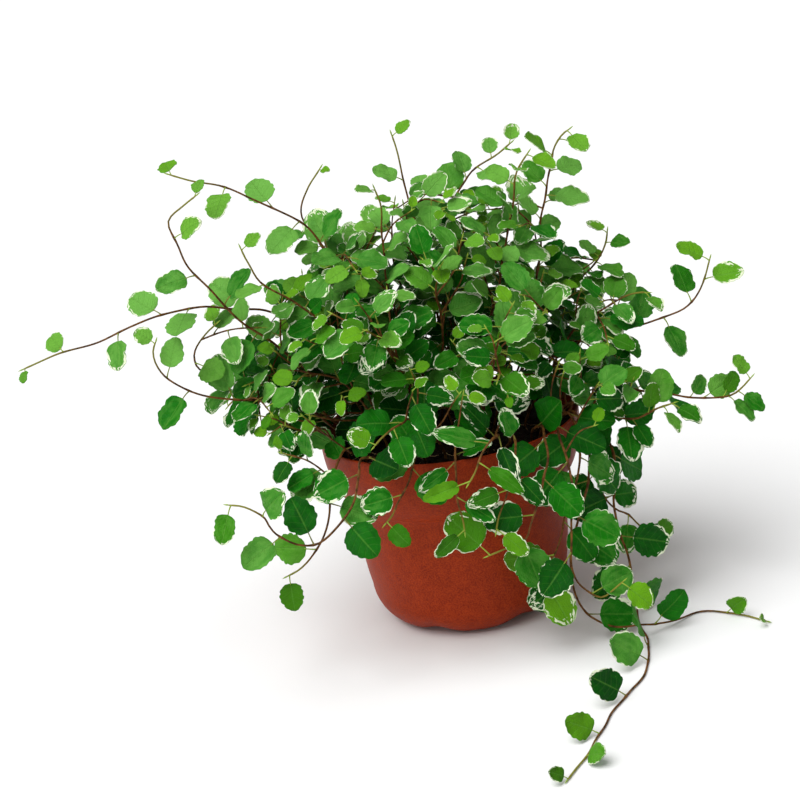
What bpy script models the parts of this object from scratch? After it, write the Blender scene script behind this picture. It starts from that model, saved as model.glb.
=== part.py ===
"""Variegated creeping fig in a round plastic nursery pot.

Frame: the origin is the middle of the foot of the pot, on the surface it stands on, with +Z up
and -Y towards the viewer. The pot, the soil and each leafy stem are separate solids. A stem and
its leaves grew as one piece, so each leafy stem is one node. Each stem stands in a plain hole in
the soil.
"""

import math
import random

import bmesh
import bpy
from mathutils import Vector
from mathutils.bvhtree import BVHTree

MM = 0.001

# Driving dimensions of the pot, in metres.
RIM_RADIUS = 60 * MM
POT_HEIGHT = 92 * MM
WALL = 1.2 * MM
STEP_RADIUS = 51 * MM
STEP_HEIGHT = 62 * MM
FOOT_RADIUS = 31 * MM
POT_SEGMENTS = 30
FOOT_COUNT = 6
CHANNEL_RISE = 2.6 * MM
CHANNEL_START = 14 * MM
CHANNEL_RUN = 12 * MM
DRAIN_COUNT = 6
DRAIN_RADIUS = 4 * MM
DRAIN_CIRCLE = 22 * MM
DRAIN_SPAN = (-5 * MM, 8 * MM)
DRAIN_SIDES = 10

# The soil fills the pot to a little below the rim.
SOIL_DROP = 7 * MM
SOIL_TOP = POT_HEIGHT - SOIL_DROP
SOIL_GAP = 0.3 * MM
SOIL_BUMP = 1.1 * MM
SOIL_EDGE_FALL = 2.5 * MM
SOIL_SEGMENTS = 24

# A stem stands this deep in its hole.
STEM_DEPTH = 10 * MM
STEM_STRAIGHT = 3 * MM
STEM_ROOT_RADIUS = 1.0 * MM
STEM_TIP_RADIUS = 0.75 * MM
HOLE_GAP = 0.4 * MM
STEM_STEP = 13 * MM
STEM_CLEARANCE = 3 * MM
CROOK = 0.06
STEM_TRIES = 80

# A leaf is a plate of this thickness on a short stalk.
BLADE_THICKNESS = 0.65 * MM
STALK_WIDTH = 0.9 * MM
STALK_SHARE = 0.3
LEAF_WIDTH_SHARE = 0.86
NARROW_STEMS = {"front_spray": 0.46, "front_mid": 0.5, "front_right": 0.62}
LEAF_CLEARANCE = 0.45 * MM
LEAF_TRIES = 26
FLOOR_CLEARANCE = 0.5 * MM

# Leaves face out from this point inside the plant, and up.
PLANT_HEART = Vector((0, 12 * MM, 82 * MM))
LEAF_FACING = Vector((0, -0.5, 0.55))
LEAF_DROOP = Vector((0, 0, -0.14))
OUTWARD_SHARE = 0.75
OUTWARD_REACH = 62 * MM
LEAFY_FROM = 0.2

GOLDEN_ANGLE = math.pi * (3 - math.sqrt(5))
BUSH_STEMS = 18
BUSH_LEAVES = (16, 10, 6)
BUSH_ROOT_CIRCLE = 41 * MM
BUSH_SPREAD = 0.82
BUSH_REACH = Vector((98 * MM, 88 * MM, 112 * MM))

# The stems that give the plant its outline: where each leaves the soil, the points it passes, and
# its leaves: the length of the largest, of the one at its tip, and their number, in millimetres.
STEMS = {
    "far_left": (
        (-34, 4),
        [(-61, 0, 144), (-87, -8, 160), (-118, -18, 165), (-147, -26, 159), (-180, -34, 154)],
        (17, 6, 9),
    ),
    "s_curl": (
        (-40, -8),
        [(-68, -14, 138), (-86, -22, 159), (-102, -26, 185), (-107, -28, 207), (-93, -30, 217)],
        (16, 7, 7),
    ),
    "top_left": (
        (-18, 14),
        [(-19, 8, 150), (-42, 0, 177), (-62, -6, 201), (-84, -10, 216), (-105, -14, 225)],
        (17, 11, 8),
    ),
    "left_twig": (
        (-26, 20),
        [(-38, 22, 154), (-53, 22, 192), (-41, 22, 212)],
        (13, 5, 4),
    ),
    "left_fan": (
        (-30, -14),
        [(-47, -26, 149), (-72, -34, 176), (-78, -36, 193)],
        (15, 8, 6),
    ),
    "left_hook_up": (
        (-44, 8),
        [(-64, 2, 121), (-89, -4, 123), (-108, -8, 135), (-107, -10, 146), (-96, -12, 156)],
        (16, 9, 5),
    ),
    "left_hook_low": (
        (-46, -4),
        [(-65, -12, 113), (-88, -20, 121), (-112, -26, 131), (-124, -28, 146), (-122, -28, 156)],
        (18, 9, 7),
    ),
    "left_drop": (
        (-30, -36),
        [
            (-37, -62, 97), (-44, -74, 84), (-60, -78, 75),
            (-76, -80, 76), (-88, -82, 91), (-96, -84, 95),
        ],
        (17, 13, 7),
    ),
    "left_hang": (
        (-40, -28),
        [(-48, -43, 99), (-54, -57, 92), (-58, -66, 80), (-69, -70, 62), (-80, -72, 56)],
        (17, 12, 5),
    ),
    "rim_left": (
        (-48, -16),
        [(-56, -32, 106), (-64, -38, 108), (-73, -42, 114)],
        (13, 8, 4),
    ),
    "front_left": (
        (-14, -42),
        [(-17, -58, 99), (-21, -68, 92), (-28, -72, 82), (-35, -74, 74)],
        (16, 11, 5),
    ),
    "front_mid": (
        (0, -46),
        [(-3, -68, 96), (-4, -75, 82), (-2, -78, 66)],
        (15, 13, 4),
    ),
    "front_spray": (
        (14, -42),
        [(18, -66, 103), (10, -78, 101), (2, -84, 90)],
        (19, 16, 6),
    ),
    "front_right": (
        (22, -42),
        [(24, -58, 100), (24, -71, 95), (18, -79, 82), (11, -82, 66)],
        (15, 13, 5),
    ),
    "right_pot": (
        (34, -34),
        [(38, -51, 99), (38, -66, 91), (31, -75, 75), (22, -77, 58), (6, -78, 54)],
        (17, 19, 6),
    ),
    "right_drop": (
        (43, -26),
        [(51, -39, 99), (53, -52, 90), (47, -60, 70), (37, -66, 48), (29, -70, 34)],
        (17, 17, 7),
    ),
    "right_long": (
        (49, -12),
        [
            (60, -20, 98), (67, -28, 84), (69, -36, 64), (67, -41, 42), (70, -46, 21), (70, -53, 6),
            (70, -62, 1.6), (69, -82, 1.25), (60, -109, 1.25), (39, -144, 1.25), (20, -178, 1.25),
        ],
        (18, 7, 14),
    ),
    "right_loop": (
        (47, -19),
        [
            (54, -35, 98), (58, -45, 84), (50, -57, 60), (42, -61, 34), (46, -62, 14), (57, -65, 6.5),
            (69, -66, 5.8), (82, -61, 3), (96, -52, 1.25), (110, -57, 1.25), (124, -71, 1.25),
        ],
        (18, 6, 10),
    ),
    "right_curl": (
        (38, -32),
        [(44, -46, 99), (46, -64, 86), (43, -78, 62), (42, -81, 38), (52, -82, 29), (62, -82, 35)],
        (18, 13, 6),
    ),
    "right_hang": (
        (50, -5),
        [(62, -10, 99), (66, -20, 87), (61, -28, 70), (64, -34, 54), (73, -36, 46), (83, -36, 35)],
        (16, 11, 7),
    ),
    "right_side": (
        (46, 2),
        [(68, -2, 98), (88, -8, 94), (110, -14, 89), (128, -16, 88), (138, -16, 95)],
        (15, 10, 7),
    ),
    "right_reach": (
        (38, 12),
        [(56, 10, 115), (83, 6, 120), (106, 3, 124), (120, 1, 132), (127, -2, 149)],
        (16, 13, 9),
    ),
    "right_top": (
        (30, 16),
        [(48, 17, 126), (67, 15, 143), (79, 12, 154), (84, 10, 166)],
        (15, 9, 5),
    ),
    "right_low": (
        (40, -22),
        [(54, -26, 99), (68, -30, 94), (82, -34, 90), (98, -38, 96)],
        (17, 12, 6),
    ),
    "top_tall": (
        (16, 10),
        [(36, 6, 127), (51, 2, 159), (57, -2, 191), (62, -4, 209), (70, -6, 217)],
        (17, 11, 8),
    ),
    "top_mid": (
        (10, -2),
        [(25, -6, 137), (36, -9, 173), (43, -11, 199), (50, -13, 211)],
        (17, 11, 6),
    ),
    "top_arch": (
        (4, 14),
        [(4, 16, 145), (16, 18, 187), (29, 18, 202), (46, 17, 211)],
        (17, 9, 7),
    ),
    "top_left_up": (
        (-4, 4),
        [(2, 4, 138), (0, 4, 176), (-5, 4, 209), (-7, 4, 225)],
        (14, 8, 6),
    ),
    "top_small": (
        (-12, -8),
        [(-16, -12, 140), (-18, -14, 182), (-18, -16, 206)],
        (14, 9, 5),
    ),
}

TERRACOTTA = (0.33, 0.075, 0.045, 1)
PEAT = (0.018, 0.012, 0.009, 1)
LEAF_GREEN = (0.07, 0.22, 0.05, 1)


def clear_scene():
    """Empty the scene of whatever it starts with."""
    for item in list(bpy.data.objects):
        bpy.data.objects.remove(item)


def material(name, colour, roughness):
    """A plain Principled material."""
    made = bpy.data.materials.new(name)
    made.use_nodes = True
    shader = made.node_tree.nodes["Principled BSDF"]
    shader.inputs["Base Color"].default_value = colour
    shader.inputs["Roughness"].default_value = roughness
    shader.inputs["Metallic"].default_value = 0
    made.diffuse_color = colour
    return made


def collection(name):
    """A new collection in the scene."""
    made = bpy.data.collections.new(name)
    bpy.context.scene.collection.children.link(made)
    return made


def mesh_object(name, bm, home):
    """A mesh object made from a bmesh, which is freed."""
    mesh = bpy.data.meshes.new(name)
    bm.to_mesh(mesh)
    bm.free()
    made = bpy.data.objects.new(name, mesh)
    home.objects.link(made)
    return made


def evaluated_mesh(item):
    """The object's mesh with its modifiers applied."""
    bpy.context.view_layer.update()
    graph = bpy.context.evaluated_depsgraph_get()
    return bpy.data.meshes.new_from_object(item.evaluated_get(graph), depsgraph=graph)


def apply_modifiers(item):
    """Put the evaluated mesh in place of the object's own."""
    made = evaluated_mesh(item)
    item.modifiers.clear()
    item.data = made


def turned(name, profile, segments, home, wall=0.0):
    """A turned shape: the profile runs down the outer side at +X, top to bottom."""
    bm = bmesh.new()
    points = [bm.verts.new((radius, 0, height)) for radius, height in profile]
    for first, second in zip(points, points[1:]):
        bm.edges.new((first, second))
    made = mesh_object(name, bm, home)
    screw = made.modifiers.new("turn", "SCREW")
    screw.axis = "Z"
    screw.steps = segments
    screw.render_steps = segments
    screw.use_merge_vertices = True
    screw.merge_threshold = 0.0001
    if wall:
        shell = made.modifiers.new("wall", "SOLIDIFY")
        shell.thickness = wall
        shell.offset = -1
        shell.use_even_offset = True
    apply_modifiers(made)
    return made


def rounded_corner(top, bottom, count):
    """Points of a quarter ellipse from the wall at top round to the foot at bottom."""
    (outer, high), (inner, low) = top, bottom
    points = []
    for i in range(count + 1):
        angle = 0.5 * math.pi * i / count
        points.append((inner + (outer - inner) * math.cos(angle), high + (low - high) * math.sin(angle)))
    return points


def pot_profile():
    """Outer side of the pot: a bulging collar over a step, a steep wall and a round lower edge."""
    collar = [
        (RIM_RADIUS, POT_HEIGHT),
        (RIM_RADIUS - 0.3 * MM, 84 * MM),
        (58.4 * MM, 76 * MM),
        (55.6 * MM, 68 * MM),
        (52.8 * MM, 63.6 * MM),
        (STEP_RADIUS, STEP_HEIGHT),
    ]
    wall = [(49.6 * MM, 58 * MM), (49.2 * MM, 46 * MM), (48.4 * MM, 32 * MM)]
    corner = rounded_corner((46.4 * MM, 18 * MM), (FOOT_RADIUS, 0), 4)
    return collar + wall + corner + [(15 * MM, 0), (0, 0)]


def channel_rise(x, y, height):
    """How far the foot is raised at a point: radial channels between the feet."""
    radius = math.hypot(x, y)
    angle = math.atan2(y, x)
    wave = 0.5 + 0.5 * math.cos(FOOT_COUNT * angle)
    inward = min(1.0, max(0.0, (radius - CHANNEL_START) / CHANNEL_RUN))
    low = max(0.0, 1 - max(0.0, height) / CHANNEL_RUN)
    return CHANNEL_RISE * wave**3 * inward * low


def drill(item, cutters, name):
    """Cut the cutters' shapes out of the item, and remove the cutters."""
    cut = item.modifiers.new(name, "BOOLEAN")
    cut.operation = "DIFFERENCE"
    cut.operand_type = "COLLECTION"
    cut.collection = cutters
    apply_modifiers(item)
    for cutter in list(cutters.objects):
        bpy.data.objects.remove(cutter)


def round_cutter(x, y, span, radius, sides, cutters):
    """An upright round cutter over a span of heights, from low to high."""
    low, high = span
    bm = bmesh.new()
    bmesh.ops.create_circle(bm, cap_ends=True, radius=radius, segments=sides)
    bmesh.ops.translate(bm, verts=bm.verts, vec=(x, y, low))
    raised = bmesh.ops.extrude_face_region(bm, geom=bm.faces[:])
    top = [item for item in raised["geom"] if isinstance(item, bmesh.types.BMVert)]
    bmesh.ops.translate(bm, verts=top, vec=(0, 0, high - low))
    bmesh.ops.recalc_face_normals(bm, faces=bm.faces)
    cutter = mesh_object("cutter", bm, cutters)
    cutter.hide_render = True
    cutter.display_type = "WIRE"


def make_pot(home, cutters):
    """The pot: a thin shell with feet round its lower edge and drain holes in its bottom."""
    pot = turned("pot", pot_profile(), POT_SEGMENTS, home, WALL)
    for vertex in pot.data.vertices:
        vertex.co.z += channel_rise(vertex.co.x, vertex.co.y, vertex.co.z)
    for i in range(DRAIN_COUNT):
        angle = 2 * math.pi * (i + 0.5) / DRAIN_COUNT
        x = DRAIN_CIRCLE * math.cos(angle)
        y = DRAIN_CIRCLE * math.sin(angle)
        round_cutter(x, y, DRAIN_SPAN, DRAIN_RADIUS, DRAIN_SIDES, cutters)
    drill(pot, cutters, "drains")
    pot.data.shade_smooth()
    pot.data.set_sharp_from_angle(angle=math.radians(40))
    return pot


def inner_radius(height):
    """Radius of the pot's inside at a height, less the gap to the soil."""
    profile = pot_profile()
    for (upper_r, upper_z), (lower_r, lower_z) in zip(profile, profile[1:]):
        if lower_z <= height <= upper_z and upper_z > lower_z:
            share = (height - lower_z) / (upper_z - lower_z)
            slope = (upper_r - lower_r) / (upper_z - lower_z)
            return lower_r + share * (upper_r - lower_r) - WALL * math.hypot(1, slope) - SOIL_GAP
    return 0.0


def soil_height(x, y):
    """Height of the soil's surface, a lumpy field that falls a little towards the wall."""
    u = x / MM
    v = y / MM
    lumps = math.sin(0.21 * u + 1.3) * math.sin(0.17 * v - 0.4) + 0.6 * math.sin(0.37 * u - 0.29 * v)
    edge = math.hypot(x, y) / RIM_RADIUS
    return SOIL_TOP + SOIL_BUMP * lumps * (1 - edge**4) - SOIL_EDGE_FALL * edge**6


def make_soil(home):
    """The soil: it fills the pot's inside and has a lumpy top."""
    floor = WALL + CHANNEL_RISE + SOIL_GAP + 0.5 * MM
    heights = [SOIL_TOP - SOIL_EDGE_FALL, 76 * MM, 68 * MM, 62.6 * MM, 57 * MM, 20 * MM, 9 * MM]
    rings = [(0, SOIL_TOP)] + [(inner_radius(SOIL_TOP) * i / 5, SOIL_TOP) for i in range(1, 5)]
    sides = [(inner_radius(height) - 0.4 * MM, height) for height in heights]
    base = [(FOOT_RADIUS - 4 * MM, floor), (0, floor)]
    soil = turned("soil", rings + sides + base, SOIL_SEGMENTS, home)
    for vertex in soil.data.vertices:
        if vertex.co.z > SOIL_TOP - 3 * MM:
            vertex.co.z = soil_height(vertex.co.x, vertex.co.y)
    return soil


class Route:
    """A smooth line through points, read by its length from the first point."""

    SAMPLES = 12

    def __init__(self, points):
        ends = [2 * points[0] - points[1]] + points + [2 * points[-1] - points[-2]]
        self.line = []
        for before, start, end, after in zip(ends, ends[1:], ends[2:], ends[3:]):
            for i in range(self.SAMPLES):
                self.line.append(self.blend(before, start, end, after, i / self.SAMPLES))
        self.line.append(points[-1].copy())
        self.marks = [0.0]
        for first, second in zip(self.line, self.line[1:]):
            self.marks.append(self.marks[-1] + (second - first).length)
        self.length = self.marks[-1]

    @staticmethod
    def blend(before, start, end, after, t):
        """A Catmull-Rom point between start and end."""
        return 0.5 * (
            2 * start
            + (end - before) * t
            + (2 * before - 5 * start + 4 * end - after) * t**2
            + (3 * start - before - 3 * end + after) * t**3
        )

    def at(self, distance):
        """(point, direction) at a distance along the line."""
        distance = min(max(distance, 0.0), self.length)
        i = 0
        while i < len(self.marks) - 2 and self.marks[i + 1] < distance:
            i += 1
        step = self.line[i + 1] - self.line[i]
        share = (distance - self.marks[i]) / max(step.length, 1e-9)
        return self.line[i] + step * share, step.normalized()


def crooked(words, points):
    """The points with one more between each two, a little off the smooth line through them."""
    draw = random.Random(f"crook {words}")
    ends = [points[0]] + points + [points[-1]]
    made = [points[0]]
    for before, start, end, after in zip(ends, ends[1:], ends[2:], ends[3:]):
        shift = Vector([draw.uniform(-1, 1) * CROOK * (end - start).length for _ in range(3)])
        if min(start.z, end.z) < 8 * MM:
            shift.z = 0
        made += [Route.blend(before, start, end, after, 0.5) + shift, end]
    return made


def stem_route(words, root, points):
    """The line of a stem: straight up out of its hole, then through its points."""
    x, y = root
    collar = Vector((x, y, SOIL_TOP + STEM_STRAIGHT))
    return Route([Vector((x, y, SOIL_TOP - STEM_DEPTH))] + crooked(words, [collar] + points))


def bush_points(index, trial):
    """(root, points) of one stem of the bush: an arch from the soil to the plant's dome."""
    draw = random.Random(f"bush {index} {trial}")
    share = math.sqrt((index + 0.5) / BUSH_STEMS)
    angle = index * GOLDEN_ANGLE
    root = (BUSH_ROOT_CIRCLE * share * math.cos(angle), BUSH_ROOT_CIRCLE * share * math.sin(angle))
    heading = angle + draw.uniform(-0.35, 0.35)
    polar = math.acos(1 - BUSH_SPREAD * (index + 0.5) / BUSH_STEMS) + draw.uniform(-0.14, 0.14)
    reach = draw.uniform(0.72, 1.0)
    out = Vector((math.cos(heading), math.sin(heading), 0))
    tip = Vector((root[0], root[1], SOIL_TOP)) * 0.35 + Vector((0, 0, SOIL_TOP)) * 0.65
    tip += Vector(
        (
            BUSH_REACH.x * reach * math.sin(polar) * out.x,
            BUSH_REACH.y * reach * math.sin(polar) * out.y,
            BUSH_REACH.z * reach * math.cos(polar),
        )
    )
    base = Vector((root[0], root[1], SOIL_TOP))
    middle = base.lerp(tip, 0.5) + Vector((0, 0, 14 * MM)) - out * 5 * MM
    aside = Vector((-out.y, out.x, 0)) * draw.uniform(-6, 6) * MM
    bend = base.lerp(tip, 0.82) + Vector((0, 0, 9 * MM)) + aside
    return root, [middle, bend, tip]


def nudged(name, points, trial):
    """A named stem's points, moved a little at random in every trial after the first."""
    draw = random.Random(f"{name} {trial}")
    reach = 0.9 * MM * math.sqrt(trial)
    moved = []
    for point in points:
        shift = Vector([draw.uniform(-reach, reach) for _ in range(3)])
        if point.z < 2 * MM:
            shift.z = 0
        moved.append(point + shift)
    return moved


def stem_marks(route):
    """Distances along a stem where its tube has a ring: its foot, just above the soil, and on."""
    first = STEM_DEPTH + STEM_STRAIGHT
    count = max(3, round((route.length - first) / STEM_STEP))
    return [0.0] + [first + (route.length - first) * i / count for i in range(count + 1)]


def stem_axis(route, distance):
    """(point, direction) on the straight piece of the tube's axis at a distance along it."""
    marks = stem_marks(route)
    i = 0
    while i < len(marks) - 2 and marks[i + 1] < distance:
        i += 1
    start, _ = route.at(marks[i])
    end, _ = route.at(marks[i + 1])
    share = (distance - marks[i]) / (marks[i + 1] - marks[i])
    return start.lerp(end, share), (end - start).normalized()


def axis_line(route):
    """Points along the tube's axis at close steps."""
    count = math.ceil(route.length / (2 * MM))
    return [stem_axis(route, route.length * i / count)[0] for i in range(count + 1)]


def lines_clear(line, others):
    """True where a stem's line keeps its clearance from every other."""
    for other in others:
        for point in line:
            if any((point - fellow).length < STEM_CLEARANCE for fellow in other):
                return False
    return True


def pot_clear(line, pot_tree):
    """True where a stem's line keeps off the pot."""
    return all(pot_tree.find_nearest(point)[3] > STEM_CLEARANCE * 0.6 for point in line)


def place_stem(name, lines, pot_tree, choices):
    """The first (root, points) of the choices that is clear of all else, as a route, or None."""
    for root, points in choices:
        route = stem_route(name, root, points)
        line = axis_line(route)
        if pot_clear(line, pot_tree) and lines_clear(line, lines):
            lines.append(line)
            return route
    return None


def stem_plan(pot_tree):
    """Every stem as (name, route, leaves): the named ones, then the bush."""
    plan = []
    lines = []
    for name, (root, points, leaves) in STEMS.items():
        start = (root[0] * MM, root[1] * MM)
        points = [Vector(point) * MM for point in points]
        choices = ((start, nudged(name, points, trial)) for trial in range(STEM_TRIES))
        route = place_stem(name, lines, pot_tree, choices)
        if route:
            plan.append((name, route, leaves))
    for index in range(BUSH_STEMS):
        name = f"bush_{index + 1:02d}"
        choices = (bush_points(index, trial) for trial in range(STEM_TRIES))
        route = place_stem(name, lines, pot_tree, choices)
        if route:
            plan.append((name, route, BUSH_LEAVES))
    return plan


def stem_radius(route, distance):
    """Radius of a stem, which tapers to its tip."""
    return STEM_ROOT_RADIUS + (STEM_TIP_RADIUS - STEM_ROOT_RADIUS) * distance / route.length


def triangle_section(home):
    """The three-sided cross-section of a stem, one unit in radius."""
    curve = bpy.data.curves.new("section", "CURVE")
    curve.dimensions = "2D"
    spline = curve.splines.new("POLY")
    spline.points.add(2)
    for i, point in enumerate(spline.points):
        angle = 2 * math.pi * i / 3
        point.co = (math.cos(angle), math.sin(angle), 0, 1)
    spline.use_cyclic_u = True
    made = bpy.data.objects.new("section", curve)
    made.hide_render = True
    made.display_type = "WIRE"
    home.objects.link(made)
    return made


def make_twig(name, route, section, home):
    """The bare stem: a three-sided tube along its route."""
    curve = bpy.data.curves.new(name, "CURVE")
    curve.dimensions = "3D"
    curve.bevel_mode = "OBJECT"
    curve.bevel_object = section
    curve.use_fill_caps = True
    marks = stem_marks(route)
    spline = curve.splines.new("POLY")
    spline.points.add(len(marks) - 1)
    for point, distance in zip(spline.points, marks):
        place, _ = route.at(distance)
        point.co = (*place, 1)
        point.radius = stem_radius(route, distance)
    guide = bpy.data.objects.new(name, curve)
    home.objects.link(guide)
    mesh = evaluated_mesh(guide)
    bpy.data.objects.remove(guide)
    bm = bmesh.new()
    bm.from_mesh(mesh)
    bmesh.ops.remove_doubles(bm, verts=bm.verts, dist=1e-6)
    bmesh.ops.triangulate(bm, faces=bm.faces)
    bmesh.ops.recalc_face_normals(bm, faces=bm.faces)
    return mesh_object(name, bm, home)


def half_width(share):
    """Half width of a leaf's blade, as a share of its widest, from its base 0 to its tip 1."""
    return math.sin(math.pi * share**0.82) ** 0.62


def blade_lift(across, along):
    """Height of the blade's surface: its sides rise from the rib in waves, and its tip bends down.

    across is -1 to 1 over the blade's width and along is 0 at its base to 1 at its tip. The height
    is a share of the blade's length.
    """
    wave = 0.035 * across * math.sin(9 * along + 0.6)
    return 0.07 * abs(across) + wave - 0.09 * along**2


def leaf_outline(length, width_share):
    """Outline of a leaf and its stalk in its own plane, as (x, y, across, along), root first."""
    stalk = STALK_SHARE * length
    width = 0.5 * width_share * length
    shares = (0.26, 0.72)
    half_stalk = 0.5 * STALK_WIDTH
    right = [(width * half_width(s), stalk + length * s, half_width(s), s) for s in shares]
    left = [(-x, y, -across, s) for x, y, across, s in reversed(right)]
    root = [(0, 0, 0, 0), (half_stalk, stalk, 0, 0)]
    return root + right + [(0, stalk + length, 0, 1)] + left + [(-half_stalk, stalk, 0, 0)]


def leaf_triangles(count):
    """Triangles of a leaf's outline: its stalk, a strip along the rib, then each half as a fan."""
    base_right = 1
    tip = count // 2
    base_left = count - 1
    faces = [(0, base_right, base_left), (base_left, base_right, tip)]
    faces += [(base_right, i, i + 1) for i in range(2, tip)]
    faces += [(i, i + 1, base_left) for i in range(tip, base_left - 1)]
    return faces


class Frame:
    """Where a leaf sits: its root, and its across, along and upward directions."""

    def __init__(self, root, along, up):
        self.root = root
        self.along = along.normalized()
        self.up = (up - self.along * up.dot(self.along)).normalized()
        self.across = self.along.cross(self.up)

    def place(self, x, y, z):
        """A point of the leaf in the plant's frame."""
        return self.root + self.across * x + self.along * y + self.up * z


def leaf_frame(words, number, trial, point, direction):
    """One way for a leaf to sit on its stem. Later trials turn it further from the first."""
    draw = random.Random(f"{words} {number} {trial}")
    side = 1 if number % 2 else -1
    out = point - PLANT_HEART
    facing = out.normalized() * min(OUTWARD_SHARE, OUTWARD_REACH / out.length) + LEAF_FACING
    spread = 0.22 + 0.045 * trial
    facing += Vector([draw.uniform(-1, 1) * spread for _ in range(3)])
    facing.normalize()
    across = direction.cross(facing).normalized() * side
    along = across * 0.85 + direction * draw.uniform(0.1, 0.6) + facing * draw.uniform(-0.1, 0.3)
    along += Vector([draw.uniform(-1, 1) * spread * 0.6 for _ in range(3)]) + LEAF_DROOP
    return Frame(point, along, facing)


def leaf_plate(frame, length, width_share, grow=0.0):
    """(points, triangles) of a leaf as a closed plate, made larger all round by grow."""
    outline = leaf_outline(length, width_share)
    count = len(outline)
    points = []
    for side in (1, -1):
        for x, y, across, along in outline:
            lift = blade_lift(across, along) * length + side * (0.5 * BLADE_THICKNESS + grow)
            stretch = 1 + 2 * grow / length
            points.append(frame.place(x * stretch, y + (grow if along > 0.6 else 0), lift))
    faces = []
    for a, b, c in leaf_triangles(count):
        faces.append((a, b, c))
        faces.append((c + count, b + count, a + count))
    for i in range(count):
        j = (i + 1) % count
        faces.append((i, i + count, j + count))
        faces.append((i, j + count, j))
    return points, faces


class Obstacles:
    """The solids already placed, each with the name it belongs to."""

    def __init__(self):
        self.items = []

    def add(self, owner, points, faces):
        """Remember a solid."""
        low = Vector([min(point[i] for point in points) for i in range(3)])
        high = Vector([max(point[i] for point in points) for i in range(3)])
        self.items.append((owner, low, high, BVHTree.FromPolygons(points, faces)))

    def add_object(self, owner, item):
        """Remember a mesh object that sits at the origin."""
        points = [vertex.co.copy() for vertex in item.data.vertices]
        self.add(owner, points, [tuple(face.vertices) for face in item.data.polygons])

    def hit(self, points, faces, skipped):
        """True where the solid meets one that isn't the skipped owner's."""
        low = Vector([min(point[i] for point in points) for i in range(3)])
        high = Vector([max(point[i] for point in points) for i in range(3)])
        tree = BVHTree.FromPolygons(points, faces)
        for owner, other_low, other_high, other in self.items:
            if owner == skipped:
                continue
            apart = any(low[i] > other_high[i] or high[i] < other_low[i] for i in range(3))
            if not apart and tree.overlap(other):
                return True
        return False


def leaf_lengths(leaves):
    """Lengths of a stem's leaves from its foot to its tip: the last few are young and small."""
    largest, last, count = leaves
    return [(largest + (last - largest) * (i / (count - 1)) ** 4) * MM for i in range(count)]


def leaf_marks(words, route, count):
    """Distances of a stem's leaves along it, at uneven steps up to the tip."""
    draw = random.Random(f"marks {words}")
    first = STEM_DEPTH + LEAFY_FROM * (route.length - STEM_DEPTH)
    step = (route.length - 1.2 * MM - first) / (count - 1)
    return [first + step * (i + draw.uniform(-0.25, 0.25) * (i < count - 1)) for i in range(count)]


def grow_leaves(name, route, leaves, obstacles):
    """The stem's leaves that find a clear place, as a list of closed plates."""
    plates = []
    lengths = leaf_lengths(leaves)
    marks = leaf_marks(name, route, len(lengths))
    width_share = NARROW_STEMS.get(name, LEAF_WIDTH_SHARE)
    for number, (distance, length) in enumerate(zip(marks, lengths)):
        for trial in range(LEAF_TRIES):
            frame = leaf_frame(name, number, trial, *stem_axis(route, distance))
            size = length * (0.9 if trial > LEAF_TRIES // 2 else 1.0)
            points, faces = leaf_plate(frame, size, width_share, LEAF_CLEARANCE)
            if min(point.z for point in points) < FLOOR_CLEARANCE:
                continue
            if obstacles.hit(points, faces, name):
                continue
            clear_of_own = Obstacles()
            for plate_points, plate_faces in plates:
                clear_of_own.add("own", plate_points, plate_faces)
            if clear_of_own.hit(points, faces, ""):
                continue
            points, faces = leaf_plate(frame, size, width_share)
            plates.append((points, faces))
            break
    for points, faces in plates:
        obstacles.add(name, points, faces)
    return plates


def keep_largest_body(item):
    """Drop loose scraps that a union left beside the item's main body."""
    bm = bmesh.new()
    bm.from_mesh(item.data)
    left = set(bm.verts)
    bodies = []
    while left:
        body = {left.pop()}
        edge = list(body)
        while edge:
            vertex = edge.pop()
            for link in vertex.link_edges:
                other = link.other_vert(vertex)
                if other in left:
                    left.discard(other)
                    body.add(other)
                    edge.append(other)
        bodies.append(body)
    bodies.sort(key=len)
    scraps = [vertex for body in bodies[:-1] for vertex in body]
    bmesh.ops.delete(bm, geom=scraps, context="VERTS")
    bm.to_mesh(item.data)
    bm.free()


def join_leaves(twig, plates):
    """Fuse the leaves to their stem with one Boolean union."""
    leaves = collection("leaves")
    for points, faces in plates:
        mesh = bpy.data.meshes.new("leaf")
        mesh.from_pydata(points, [], faces)
        leaves.objects.link(bpy.data.objects.new("leaf", mesh))
    union = twig.modifiers.new("leaves", "BOOLEAN")
    union.operation = "UNION"
    union.operand_type = "COLLECTION"
    union.collection = leaves
    apply_modifiers(twig)
    keep_largest_body(twig)
    for leaf in list(leaves.objects):
        bpy.data.objects.remove(leaf)
    bpy.data.collections.remove(leaves)


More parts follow.
